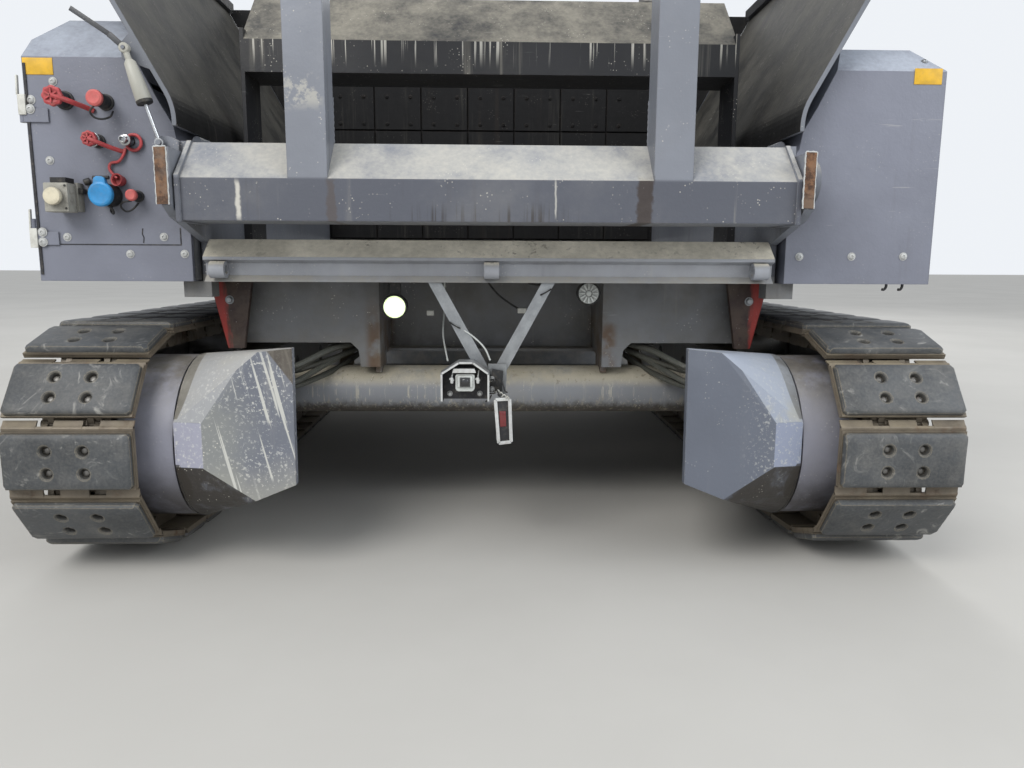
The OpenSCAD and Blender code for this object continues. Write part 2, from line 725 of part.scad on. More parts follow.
// Section of a side cabinet: its inner upper corner is cut back under the open wing
function cab_section(roof) = [
  [cheek_x + cheek_t + 12, deck_z], [half_w, deck_z], [half_w, roof - 72],
  [half_w - 72, roof], [wing_axis_x + 70 + (roof - 1316) * tan(wing_flare), roof],
  [wing_axis_x + 70, 1300], [cheek_x + cheek_t + 42, 1240], [cheek_x + cheek_t + 34, 1190],
  [cheek_x + cheek_t + 12, 1150]];

module cabinet_body(front_top, slope) {
  roof = front_top + slope;
  difference() {
    along_y(cab_front, cab_rear) polygon(cab_section(roof));
    // Slope of the roof at the front
    translate([0, cab_front, front_top]) rotate([45, 0, 0])
      box(0, half_w + 10, -10, 400, 0, 400);
  }
}

module cabinet_left() {
  color(grey) {
    difference() {
      mirror([1, 0, 0]) cabinet_body(cab_left_top, cab_left_slope);
      box(-half_w + cab_wall, -wing_axis_x - 90, cab_front + cab_wall, cab_rear - cab_wall,
          deck_z + cab_wall, cab_left_top - 60);
      box(-half_w - 10, -half_w + cab_wall + 10, cab_front + 40, cab_front + 860,
          deck_z + 70, cab_left_top - 90);
    }
    // Hinge leaves and pins of the side door
    for (z = hinge_z) {
      box(-half_w - 5, -half_w + 62, cab_front - 5, cab_front, z + 4, z + 40);
      bar_z(5, -half_w - 10, cab_front + 4, z + 4, z + 76);
      bar_z(9, -half_w - 10, cab_front + 4, z + 4, z + 38);
    }
  }
}
hinge_z = [deck_z + 96, cab_left_top - 176];

// Side door of the left cabinet, hinged at the front corner
module cabinet_door() {
  color(grey) {
    box(-half_w - 6, -half_w - 0.5, cab_front + 24, cab_front + 880, deck_z + 50, cab_left_top - 70);
    for (z = hinge_z) difference() {
      union() {
        bar_z(9, -half_w - 10, cab_front + 4, z + 42, z + 76);
        box(-half_w - 10, -half_w - 6, cab_front + 4, cab_front + 60, z + 42, z + 76);
      }
      bar_z(5.3, -half_w - 10, cab_front + 4, z, z + 90);
    }
  }
}

module tank_right() {
  color(grey) {
    cabinet_body(tank_top, tank_slope);
    bar_z(48, half_w - 125, 900, tank_top + tank_slope, tank_top + tank_slope + 40);
  }
}

// Hydraulic quick couplers on the left cabinet's front: x, z, radius, length
coupler_table = [
  [-1166, 1303, 26, 70],
  [-1056, 1299, 26, 70],
  [-1084, 1196, 16, 60],
  [-998, 1196, 16, 60],
  [-980, 1050, 14, 50]
];
module couplings() {
  color(red) for (c = coupler_table) {
    bar_y(c[2], c[0], cab_front - c[3], cab_front, c[1]);
    bar_y(c[2] * 1.35, c[0], cab_front - 10, cab_front, c[1]);
  }
}

// Stop switch box and round power socket beside the couplers
module socket_boxes() {
  color(steel) {
    box(-1178, -1098, cab_front - 78, cab_front, 1004, 1088);
    bar_y(22, -1152, cab_front - 102, cab_front - 78, 1046);
  }
  color("#2f86c4") {
    bar_y(34, -1062, cab_front - 52, cab_front, 1050);
    bar_y(38, -1062, cab_front - 66, cab_front - 52, 1050);
  }
}

// Two round lamps below the hopper's sill
module work_lamps() {
  color(zinc) for (p = [[-289, 739, 36], [290, 781, 32]]) {
    bar_y(p[2], p[0], 345, 395, p[1]);
    box(p[0] - 15, p[0] + 15, 360, 380, p[1] + 20, deck_z);
  }
}

// V bracket with the camera's guard and the reflector frame
module camera_bracket() {
  front = 256;
  back = 268;
  foot = 556;
  color(zinc) {
    for (s = [-1, 1]) along_y(back - 6, back) polygon([
      [s * 144, deck_z], [s * 182, deck_z], [s * 42, foot], [s * 2, foot]]);
    box(-10, 44, front, back, foot - 26, foot + 24);
    // Hood of the camera: a folded sheet, open below
    difference() {
      along_y(200, front + 6) polygon([
        [-145, 478], [-6, 478], [-6, 560], [-52, 593], [-94, 593], [-145, 560]]);
      along_y(190, front - 6) polygon([
        [-139, 470], [-12, 470], [-12, 557], [-54, 587], [-92, 587], [-139, 557]]);
    }
    box(-102, -51, 215, front - 6, 507, 556);
    // Frame of the reflector, hung from a strip
    difference() {
      box(14, 53, 232, front + 6, 359, 463);
      box(18, 49, 220, front, 363, 459);
    }
    box(24, 42, front, front + 8, 458, foot - 21);
  }
}

// A point off the guard's inner side: how far back along it, its height, its distance
guard_side = [-(guard_back - guard_face - guard_lip), guard_taper, 0];
function off_guard(t, z, off) =
  [guard_x + guard_taper * t, guard_back + guard_side[0] * (1 - t), z]
  + off * guard_side / norm(guard_side);
// Hose bundles from the motor guards, over the front cross tube to the belly
hose_points = [
  [off_guard(0.85, 540, fit), off_guard(0.85, 540, 30),
   [beam_x + 70, tube_front_y + 34, 596], [beam_x + 20, tube_front_y + 34, 596]],
  [off_guard(0.80, 500, fit), off_guard(0.80, 500, 30),
   [beam_x + 70, tube_front_y + 94, 584], [beam_x + 20, tube_front_y + 94, 584]]
];
module drive_hoses() {
  color(rubber_black) for (s = [-1, 1]) on_side(s)
    for (path = hose_points) for (i = [0:len(path) - 2])
      rod_between(path[i], path[i + 1], 16 - i);
}

// Engine on its rails, with the cooler across its front and the air filter on top
module engine() {
  x0 = -420;
  x1 = 480;
  y0 = hood_front + 180;
  y1 = hood_rear - 180;
  base = tunnel_top - 2;
  block_top = base + 470;
  color(dark) {
    twin_box(220, 300, y0 - 60, y1 + 40, base, base + 60);
    box(x0, x1, y0 + 110, y1, base + 60, block_top);
    box(x0 + 150, x1 - 150, y0 + 160, y1 - 40, block_top, block_top + 90);
    box(x0 - 120, x1 + 90, y0, y0 + 90, base, 1640);
    bar_x(90, x0 - 60, x1 - 240, y1 - 130, block_top + 170);
    box(x0 + 60, x0 + 120, y1 - 190, y1 - 70, block_top, block_top + 170);
    for (k = [0:5])
      bar_x(24, x1, x1 + 60, y0 + 190 + k * 68, base + 330);
    bar_y(46, x1 + 60, y0 + 130, y1 - 40, base + 330);
  }
}

hood_chamfer = 120;
door_low = 935;
door_high = 1715;
// Outline of the hood's shell, drawn in by off
function hood_line(off, low) =
  let (x = half_w - off, top = hood_top - off, c = hood_chamfer - 0.4 * off)
  concat([for (s = [-1, 1]) [s * x, low]],
         [[x, top - c], [x - c, top], [c - x, top], [-x, top - c]]);
module hood() {
  color(grey) {
    difference() {
      along_y(hood_front, hood_rear) polygon(hood_line(0, deck_z));
      along_y(hood_front + hood_t, hood_rear - hood_t) polygon(hood_line(hood_t, deck_top));
      box(-cheek_x - cheek_t, cheek_x + cheek_t, hood_front - 10, hood_rear + 10, deck_z - 10, tunnel_top);
      for (s = [-1, 1])
        box(s * half_w - 40, s * half_w + 40, hood_front + 90, hood_rear - 90,
            door_low - 5, door_high + 5);
      // Grooves of the air inlet in the sloped edge of the left side
      for (k = [0:8])
        translate([-half_w + hood_chamfer / 2, hood_front + 150 + k * 80, hood_top - hood_chamfer / 2])
          rotate([0, -45, 0]) box(-60, 60, 0, 34, -8, 10);
    }
    // Fixed hinge knuckles and pins of the side doors
    for (s = [-1, 1]) on_side(s) for (z = hood_hinge_z) {
      bar_z(9, half_w + 10, hood_hinge_y, z, z + 34);
      bar_z(5, half_w + 10, hood_hinge_y, z, z + 70);
      box(half_w, half_w + 5, hood_hinge_y + 2, hood_hinge_y + 60, z, z + 34);
      box(half_w, half_w + 10, hood_hinge_y - 4, hood_hinge_y + 6, z, z + 34);
    }
  }
}

// Louvred side door of the hood, hinged at its rear edge
hood_hinge_y = hood_rear - 84;
hood_hinge_z = [door_low + 65, door_high - 145];
module hood_door(s) {
  color(grey) on_side(s) {
    difference() {
      box(half_w - hood_t, half_w, hood_front + 95, hood_rear - 95, door_low, door_high);
      for (k = [0:6]) {
        z = door_low + 245 + k * 68;
        box(half_w - hood_t - 5, half_w - 8, hood_front + 180, hood_rear - 180, z, z + 32);
        translate([half_w, 0, z]) rotate([0, -25, 0])
          box(-14, 20, hood_front + 180, hood_rear - 180, 0, 14);
      }
    }
    for (z = hood_hinge_z) difference() {
      union() {
        bar_z(9, half_w + 10, hood_hinge_y, z + 36, z + 70);
        box(half_w, half_w + 5, hood_hinge_y - 70, hood_hinge_y - 12, z + 36, z + 70);
        box(half_w + 1, half_w + 10, hood_hinge_y - 16, hood_hinge_y, z + 36, z + 70);
      }
      bar_z(5.3, half_w + 10, hood_hinge_y, z, z + 90);
    }
  }
}

exhaust_x = half_w - 375;
exhaust_y = hood_rear - 300;
module exhaust() {
  color(steel) difference() {
    union() {
      bar_z(60, exhaust_x, exhaust_y, hood_top, hood_top + 160);
      bar_z(48, exhaust_x, exhaust_y, hood_top + 150, hood_top + 520);
    }
    bar_z(42, exhaust_x, exhaust_y, hood_top + 250, hood_top + 530);
  }
}

// Operator's floor, on the tank boxes over the conveyor tunnel, with steps
module platform() {
  box_x = half_w - 145;
  step_y = hood_rear + 420;
  wall = 20;
  color(grey) {
    box(-half_w, half_w, hood_rear + 5, floor_rear, floor_z - wall, floor_z);
    twin_box(cheek_x + cheek_t, box_x, hood_rear + 5, floor_rear - 160, deck_z, floor_z - wall);
    for (y = [hood_rear + 5, deck_end - 40])
      box(-cheek_x - 38, cheek_x + 38, y, y + wall, tunnel_top - 2, floor_z - wall);
    twin_box(460, 480, deck_end - 400, deck_end - 20, tunnel_top - 2, floor_z - wall);
  }
  color(dark) for (k = [0:2])
    twin_box(box_x, half_w, step_y, step_y + 320, deck_z + 16 + k * 165, deck_z + 36 + k * 165);
}

rail_half = 19;
rail_x = half_w - 30;
rail_y = [hood_rear + 120, hood_rear + 380, floor_rear - 380, floor_rear - 30];
rail_rear_x = [-rail_x, -622, -149, 149, 622, rail_x];
module railing_posts() {
  color(red) {
    for (y = rail_y)
      twin_box(rail_x - rail_half, rail_x + rail_half, y - rail_half, y + rail_half, floor_z, rail_top);
    for (k = [1:4])
      box(rail_rear_x[k] - rail_half, rail_rear_x[k] + rail_half,
          rail_y[3] - rail_half, rail_y[3] + rail_half, floor_z, rail_top);
  }
}
// Rails from post to post, with the doorways left open on both sides
module railings() {
  half = rail_half - 3;
  color(red) for (z = [rail_top, (floor_z + rail_top) / 2]) {
    for (k = [0, 2])
      twin_box(rail_x - half, rail_x + half, rail_y[k] + rail_half, rail_y[k + 1] - rail_half, z - 32, z);
    for (k = [0:4])
      box(rail_rear_x[k] + rail_half, rail_rear_x[k + 1] - rail_half,
          rail_y[3] - half, rail_y[3] + half, z - 32, z);
  }
}

// Two seats on pedestals: cushion, reclined back and armrests
seat_x = half_w - 475;
seat_y = floor_rear - 810;           // front edge of the cushions
seat_z = floor_z + 330;              // underside of the cushions
module seats() {
  half = 240;
  depth = 440;
  color(rubber_black) for (s = [-1, 1]) translate([s * seat_x, seat_y, seat_z]) {
    box(-90, 90, 130, 310, floor_z - seat_z, -30);
    box(-170, 170, 90, 400, -30, 0);
    along_x(-half, half) polygon([
      [20, 0], [0, 50], [8, 95], [40, 112], [150, 104], [depth, 92], [depth, 0]]);
    along_x(-half + 10, half - 10) polygon([
      [depth - 60, 93], [depth - 48, 160], [depth - 52, 330], [depth - 15, 560], [depth + 18, 625],
      [depth + 62, 620], [depth + 74, 570], [depth + 50, 330], [depth + 30, 93]]);
    for (a = [-1, 1]) {
      along_x(a * (half + 28) - 28, a * (half + 28) + 28) polygon([
        [110, 226], [120, 262], [430, 270], [440, 234]]);
      box(a * (half + 12) - 12, a * (half + 12) + 12, 380, 424, 10, 234);
      box(min(a * (half - 30), a * (half + 24)), max(a * (half - 30), a * (half + 24)), 380, 424, -16, 10);
    }
  }
}

// Control console behind the hood: its stand, the sloped panel and the lever post
module console() {
  half = 330;
  y0 = hood_rear + 50;
  color(dark) {
    along_x(-half + 60, half - 60) polygon([
      [y0, floor_z], [y0 + 140, floor_z], [y0 + 140, floor_z + 780], [y0, floor_z + 780]]);
    along_x(-half, half) polygon([
      [y0 - 20, floor_z + 780], [y0 + 150, floor_z + 780], [y0 + 240, floor_z + 860],
      [y0 + 232, floor_z + 890], [y0 + 60, floor_z + 1030], [y0, floor_z + 1020],
      [y0 - 20, floor_z + 960]]);
    translate([half - 110, y0 + 150, floor_z + 940]) rotate([-38, 0, 0]) {
      cylinder(r = 16, h = 120);
      translate([0, 0, 110]) rotate_extrude($fn = 40) translate([130, 0]) circle(r = 13, $fn = 16);
      for (a = [0:2]) rotate([0, 0, 90 + 120 * a]) translate([-8, 8, 104]) cube([16, 120, 12]);
    }
  }
}

// Canopy: a shallow arched roof with a rim all round, on four posts
canopy_front = hood_rear - 200;
canopy_rear = floor_rear + 180;
canopy_post_y = [hood_rear + 60, floor_rear - 100];
module canopy() {
  post_x = half_w - 120;
  half = half_w - 10;
  rim = 110;
  skin = 20;
  arch = [for (k = [0:8]) let (a = 180 * k / 8) [(half - 8) * cos(a), 45 * sin(a)]];
  color(grey) {
    for (s = [-1, 1]) for (y = canopy_post_y)
      box(s * post_x - 35, s * post_x + 35, y - 35, y + 35, floor_z, canopy_top - rim + 15);
    difference() {
      along_y(canopy_front, canopy_rear) polygon(concat(
        [[half, canopy_top - rim]], [for (p = arch) [p[0], canopy_top - 45 + p[1]]],
        [[-half, canopy_top - rim]]));
      box(-half + 40, half - 40, canopy_front + 40, canopy_rear - 40, canopy_top - rim - 5,
          canopy_top - 45 - skin);
    }
    for (y = canopy_post_y)
      box(-post_x - 35, post_x + 35, y - 25, y + 25, canopy_top - rim + 15, canopy_top - 45 - skin);
  }
}

// Plates outside the hood that carry the tow pins and the lift cylinders
module tow_brackets() {
  color(grey) for (s = [-1, 1]) on_side(s) {
    along_x(half_w + 2, half_w + 20) polygon([
      [tow_y - 70, tow_z - 70], [tow_y + 70, tow_z - 70], [tow_y + 220, deck_z],
      [tow_y + 220, deck_z + 106], [tow_y + 100, deck_z + 106], [tow_y - 70, deck_z + 60]]);
    box(half_w, half_w + 2, tow_y + 100, tow_y + 220, deck_z, deck_z + 106);
    bar_x(30, half_w + 20, arm_x + arm_t + 14, tow_y, tow_z);
    // Lift cylinder lugs on the platform's edge
    box(half_w - 140, arm_mid - 24, lift_y - 50, lift_y + 50, floor_z - 45, floor_z - 20);
    along_x(arm_mid - 36, arm_mid - 24) polygon([
      [lift_y - 50, floor_z - 20], [lift_y + 50, floor_z - 20],
      [lift_y + 34, lift_z - 34], [lift_y - 34, lift_z - 34]]);
    bar_x(13.7, arm_mid - 24, arm_mid + 24, lift_y, lift_z);
  }
}

// Main screed with its two tow arms
module screed() {
  y0 = screed_front;
  y1 = screed_front + screed_l;
  color(grey) {
    along_x(-half_w, half_w) polygon([
      [y0 + 60, 0], [y1, 0], [y1, screed_h], [y0 + 40, screed_h], [y0, screed_h - 60], [y0, 50]]);
    for (s = [-1, 1]) on_side(s) {
      difference() {
        along_x(arm_x, arm_x + arm_t) polygon([
          [tow_y - 80, tow_z - arm_h / 2], [lift_eye_y - 60, tow_z - arm_h / 2],
          [y0 + 60, 140], [y1 - 30, 140], [y1 - 30, screed_h], [y0 + 80, screed_h + 40],
          [lift_eye_y + 60, tow_z + arm_h / 2], [tow_y - 80, tow_z + arm_h / 2]]);
        bar_x(30 + fit, arm_x - 5, arm_x + arm_t + 5, tow_y, tow_z);
      }
      box(half_w, arm_x, y0 + 90, y1 - 60, 150, screed_h - 20);
      // Eye lug of the lift cylinder on the arm
      along_x(arm_mid - 36, arm_mid - 24) polygon([
        [lift_eye_y - 60, tow_z + 60], [lift_eye_y + 60, tow_z + 60],
        [lift_eye_y + 30, lift_eye_z + 30], [lift_eye_y - 30, lift_eye_z + 30]]);
      bar_x(lift_pin_r, arm_mid - 30, arm_mid + 24, lift_eye_y, lift_eye_z);
    }
    // Runners that the extending screeds slide on
    for (z = [110, 230]) box(-half_w, half_w, y1, ext_front - fit, z, z + 40);
    box(-half_w, half_w, y1 - 60, screed_rear, screed_h + 66, screed_h + 90);
    twin_box(half_w - 120, half_w - 60, y1 - 60, y1 - 20, screed_h, screed_h + 66);
    twin_box(60, 120, y1 - 60, y1 - 20, screed_h, screed_h + 66);
  }
}

module screed_ext(s) {
  color(grey) on_side(s) {
    along_x(6, half_w) polygon([
      [ext_front + 30, 0], [ext_front + ext_l, 0], [ext_front + ext_l, screed_h - 20],
      [ext_front, screed_h - 20], [ext_front, 30]]);
    box(half_w, half_w + 16, ext_front, ext_front + ext_l, 0, screed_h + 40);
  }
}

// Screw flight wound on a shaft, of opposite hand on the two sides
module auger(s) {
  len_x = 1080;
  l = len_x - 60;
  color(steel) on_side(s) translate([40, auger_y, auger_z]) rotate([0, 90, 0]) {
    difference() {
      cylinder(r = 42, h = len_x);
      translate([0, 0, -1]) cylinder(r = auger_pin_r + fit, h = 81);
    }
    linear_extrude(l, twist = -360 * l / auger_pitch, slices = 60, segments = 4, convexity = 8)
      translate([38, -9]) square([auger_r - 38, 18]);
  }
}

module auger_hanger() {
  color(grey) {
    along_x(-34, 34) polygon([
      [deck_end - 200, deck_z - 10], [deck_end - 200, deck_z], [deck_end - 2, deck_z],
      [auger_y + 60, auger_z + 90], [auger_y + 60, auger_z - 60], [auger_y - 60, auger_z - 60],
      [auger_y - 90, auger_z + 60], [deck_end - 120, deck_z - 60]]);
    bar_x(auger_pin_r, -116, 116, auger_y, auger_z);
  }
}

// Screed lift cylinders, leaning fore and aft
module lift_axis() {
  d = [lift_eye_y - lift_y, lift_z - lift_eye_z];
  translate([arm_mid, lift_y, lift_z]) rotate([atan2(d[0], d[1]), 0, 0]) children();
}
lift_len = norm([lift_eye_y - lift_y, lift_z - lift_eye_z]);
module lift_barrel(s) {
  color(dark) on_side(s) lift_axis() difference() {
    union() {
      bar_x(30, -22, 22, 0, 0);
      bar_z(40, 0, 0, -330, -52);
      bar_z(20, 0, 0, -60, -10);
    }
    bar_z(24, 0, 0, -400, -64);
    bar_x(14, -40, 40, 0, 0);
  }
}
module lift_rod(s) {
  color(zinc) on_side(s) lift_axis() difference() {
    union() {
      bar_x(30, -22, 22, 0, -lift_len);
      bar_z(23.5, 0, 0, -lift_len + 20, -310);
    }
    bar_x(14, -40, 40, 0, -lift_len);
  }
}

module placed() {
  translate([0, y_shift, 0]) children();
}

placed() track(-1);  // track_left
placed() track(1);  // track_right
placed() track_frame(-1);  // track_frame_left
placed() track_frame(1);  // track_frame_right
placed() sprocket(-1);  // sprocket_left
placed() sprocket(1);  // sprocket_right
placed() motor_guard(-1);  // motor_guard_left
placed() motor_guard(1);  // motor_guard_right
placed() axle_tubes();
placed() chassis();
placed() tie_brackets();
placed() front_sill();
placed() hopper_base();
placed() hopper_bridge();
placed() hopper_back();
placed() conveyor();
placed() gate_frame();
placed() gate_pins();
placed() wing(-1);  // wing_left
placed() wing(1);  // wing_right
placed() wing_barrel(-1);  // wing_barrel_left
placed() wing_barrel(1);  // wing_barrel_right
placed() wing_rod(-1);  // wing_rod_left
placed() wing_rod(1);  // wing_rod_right
placed() strut_rod();
placed() strut_sleeve();
placed() cabinet_left();
placed() cabinet_door();
placed() tank_right();
placed() couplings();
placed() socket_boxes();
placed() work_lamps();
placed() camera_bracket();
placed() drive_hoses();
placed() engine();
placed() hood();
placed() hood_door(-1);  // hood_door_left
placed() hood_door(1);  // hood_door_right
placed() exhaust();
placed() platform();
placed() railing_posts();
placed() railings();
placed() seats();
placed() console();
placed() canopy();
placed() tow_brackets();
placed() screed();
placed() screed_ext(-1);  // screed_ext_left
placed() screed_ext(1);  // screed_ext_right
placed() auger(-1);  // auger_left
placed() auger(1);  // auger_right
placed() auger_hanger();
placed() lift_barrel(-1);  // lift_barrel_left
placed() lift_barrel(1);  // lift_barrel_right
placed() lift_rod(-1);  // lift_rod_left
placed() lift_rod(1);  // lift_rod_right
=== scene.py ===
import bpy, bmesh, random
from math import cos, exp, pi, radians, sin
from mathutils import Vector, Matrix


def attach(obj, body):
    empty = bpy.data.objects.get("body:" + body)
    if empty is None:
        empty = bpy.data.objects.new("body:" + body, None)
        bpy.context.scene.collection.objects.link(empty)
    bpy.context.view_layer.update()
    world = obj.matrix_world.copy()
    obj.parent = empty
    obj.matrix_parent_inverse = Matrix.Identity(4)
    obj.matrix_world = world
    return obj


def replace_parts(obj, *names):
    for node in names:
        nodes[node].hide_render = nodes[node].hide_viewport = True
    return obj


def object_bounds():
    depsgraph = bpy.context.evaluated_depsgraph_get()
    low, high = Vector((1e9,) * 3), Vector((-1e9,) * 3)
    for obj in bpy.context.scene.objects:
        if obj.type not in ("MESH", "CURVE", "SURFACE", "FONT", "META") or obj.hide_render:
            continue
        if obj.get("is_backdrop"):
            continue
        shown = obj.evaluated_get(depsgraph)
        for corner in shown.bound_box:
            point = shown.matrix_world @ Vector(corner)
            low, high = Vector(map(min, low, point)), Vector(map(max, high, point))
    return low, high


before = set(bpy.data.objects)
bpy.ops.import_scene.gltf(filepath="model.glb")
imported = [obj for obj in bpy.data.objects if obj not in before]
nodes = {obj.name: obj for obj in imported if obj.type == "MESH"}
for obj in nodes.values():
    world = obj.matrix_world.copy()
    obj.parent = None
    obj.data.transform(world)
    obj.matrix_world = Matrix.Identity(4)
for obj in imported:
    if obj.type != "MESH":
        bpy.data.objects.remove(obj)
cad_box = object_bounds()
YS = -2.540          # the source's stations along Y start this far in front of the origin


def place(name, data):
    """A new object in the scene, at the origin."""
    o = bpy.data.objects.new(name, data)
    bpy.context.scene.collection.objects.link(o)
    return o


# Camera at the photograph's place: low in front of the hopper
FOCAL, FRAME_WIDTH = 766, 1024        # pixels
EYE = Vector((0, -1.953 + YS, 0.873))
PITCH_DOWN, YAW, ROLL = radians(9.05), radians(1.55), radians(0.28)


def camera():
    data = bpy.data.cameras.new("camera")
    data.sensor_width = 36
    data.lens = FOCAL / FRAME_WIDTH * 36
    data.clip_end = 200
    cam = place("camera", data)
    ahead = Vector((sin(YAW) * cos(PITCH_DOWN), cos(YAW) * cos(PITCH_DOWN),
                    -sin(PITCH_DOWN)))
    right = Vector((cos(YAW), -sin(YAW), 0))
    up = right.cross(ahead)
    across = cos(ROLL) * right + sin(ROLL) * up
    above = -sin(ROLL) * right + cos(ROLL) * up
    turn = Matrix((across, above, -ahead)).transposed().to_4x4()
    cam.matrix_world = Matrix.Translation(EYE) @ turn
    bpy.context.scene.camera = cam


camera()


# Materials
def hexc(h, k=1.0):
    c = [int(h[i:i + 2], 16) / 255 for i in (1, 3, 5)]
    return tuple(min(1, k * (x / 12.92 if x <= 0.04045 else ((x + 0.055) / 1.055) ** 2.4)) for x in c) + (1,)


class Nodes:
    """Adds shader nodes to an emptied tree."""
    def __init__(self, tree):
        self.nt = tree
        tree.nodes.clear()

    def n(self, kind, props=None, **ins):
        """One shader node; an input goes by its name, or by i and its number."""
        node = self.nt.nodes.new("ShaderNode" + kind)
        for k, v in (props or {}).items():
            setattr(node, k, v)
        for k, v in ins.items():
            self.put(node, int(k[1:]) if k[1:].isdigit() else k.replace("_", " "), v)
        return node

    def put(self, node, key, v):
        if isinstance(v, bpy.types.NodeSocket):
            self.nt.links.new(v, node.inputs[key])
        else:
            node.inputs[key].default_value = v

    def math(self, op, a, b=0.5, clamp=False):
        return self.n("Math", {"operation": op, "use_clamp": clamp}, i0=a, i1=b).outputs[0]

    def add(self, a, b, clamp=False):
        return self.math("ADD", a, b, clamp)

    def sub(self, a, b):
        return self.math("SUBTRACT", a, b)

    def size(self, a):
        """A value without its sign."""
        return self.math("ABSOLUTE", a)

    def times(self, *vals):
        out = vals[0]
        for v in vals[1:]:
            out = self.math("MULTIPLY", out, v)
        return out


class Tree(Nodes):
    """A material's nodes, with the few steps that all the finishes below are made of."""
    def __init__(self, name, radius=0.003):
        self.mat = bpy.data.materials.new(name)
        self.mat.use_nodes = True
        super().__init__(self.mat.node_tree)
        spots = self.n("TexCoord").outputs
        self.co = spots["Object"]
        self.x, self.y, self.z = self.n("SeparateXYZ", Vector=self.co).outputs
        self.nx, self.ny, self.nz = self.n("SeparateXYZ", Vector=spots["Normal"]).outputs
        self.round = self.n("Bevel", {"samples": 2}, Radius=radius).outputs[0]

    def at(self, loc=(0, 0, 0), scale=(1, 1, 1), rot=(0, 0, 0), vec=None):
        return self.n("Mapping", Vector=vec or self.co, Location=loc, Scale=scale,
                      Rotation=rot).outputs[0]

    def noise(self, scale, detail=4, rough=0.6, vec=None):
        return self.n("TexNoise", Vector=vec or self.co, Scale=scale, Detail=detail,
                      Roughness=rough).outputs[0]

    def ramp(self, v, lo, hi, a=0.0, b=1.0):
        return self.n("MapRange", {"interpolation_type": "SMOOTHSTEP"}, Value=v,
                      From_Min=lo, From_Max=hi, To_Min=a, To_Max=b).outputs[0]

    def blot(self, lo, hi, *noise):
        """Patches of noise, from none at lo to full at hi."""
        return self.ramp(self.noise(*noise), lo, hi)

    def band(self, v, lo, hi, soft=0.004):
        """Full where v lies between lo and hi."""
        return self.times(self.ramp(v, lo - soft, lo + soft), self.ramp(v, hi + soft, hi - soft))

    def mix(self, fac, a, b):
        node = self.n("Mix", {"data_type": "RGBA"})
        self.put(node, 0, fac)
        self.put(node, 6, hexc(a) if isinstance(a, str) else a)
        self.put(node, 7, hexc(b) if isinstance(b, str) else b)
        return node.outputs[2]

    def base(self, a, b, *blot):
        """The ground of the finish: colour a with patches of b."""
        self.col = self.mix(self.blot(*blot), a, b)

    def over(self, colour, *masks):
        """Lays a colour over the finish where all the masks are."""
        self.col = self.mix(self.times(*masks), self.col, colour)

    def edge(self):
        """Full along convex and concave edges, found from the rounded normal."""
        geo = self.n("NewGeometry")
        dot = self.n("VectorMath", {"operation": "DOT_PRODUCT"}, i0=self.round,
                     i1=geo.outputs["Normal"]).outputs["Value"]
        return self.ramp(dot, 0.99, 0.80)

    def corner_shade(self, distance=0.12):
        """Painted shade: full in corners and under ledges, found by ambient occlusion."""
        ao = self.n("AmbientOcclusion", {"samples": 2}, Distance=distance)
        return self.ramp(ao.outputs["AO"], 0.95, 0.35)

    def bump(self, height, strength=0.2, distance=0.002):
        return self.n("Bump", Height=height, Strength=strength, Distance=distance,
                      Normal=self.round).outputs[0]

    def runs(self, density, loc=(0, 0, 0), lo=0.58, hi=0.72):
        """Thin upright runs of dried liquid."""
        return self.blot(lo, hi, 1.0, 4, 0.62, self.at(loc, (density, density, 0.9)))

    def spot(self, x, z, colour, strength, soft=0.004, wob=0.012):
        """A stain between x[0] and x[1] and between z[0] and z[1], with a ragged outline."""
        w = self.times(self.sub(self.noise(38, 3), 0.5), wob * 2)
        self.over(colour, self.band(self.add(self.x, w), *x, soft), self.band(self.add(self.z, w), *z, 0.012),
                  strength)

    def finish(self, **ins):
        self.n("OutputMaterial", Surface=self.n("BsdfPrincipled", Base_Color=self.col, **ins).outputs[0])
        return self.mat


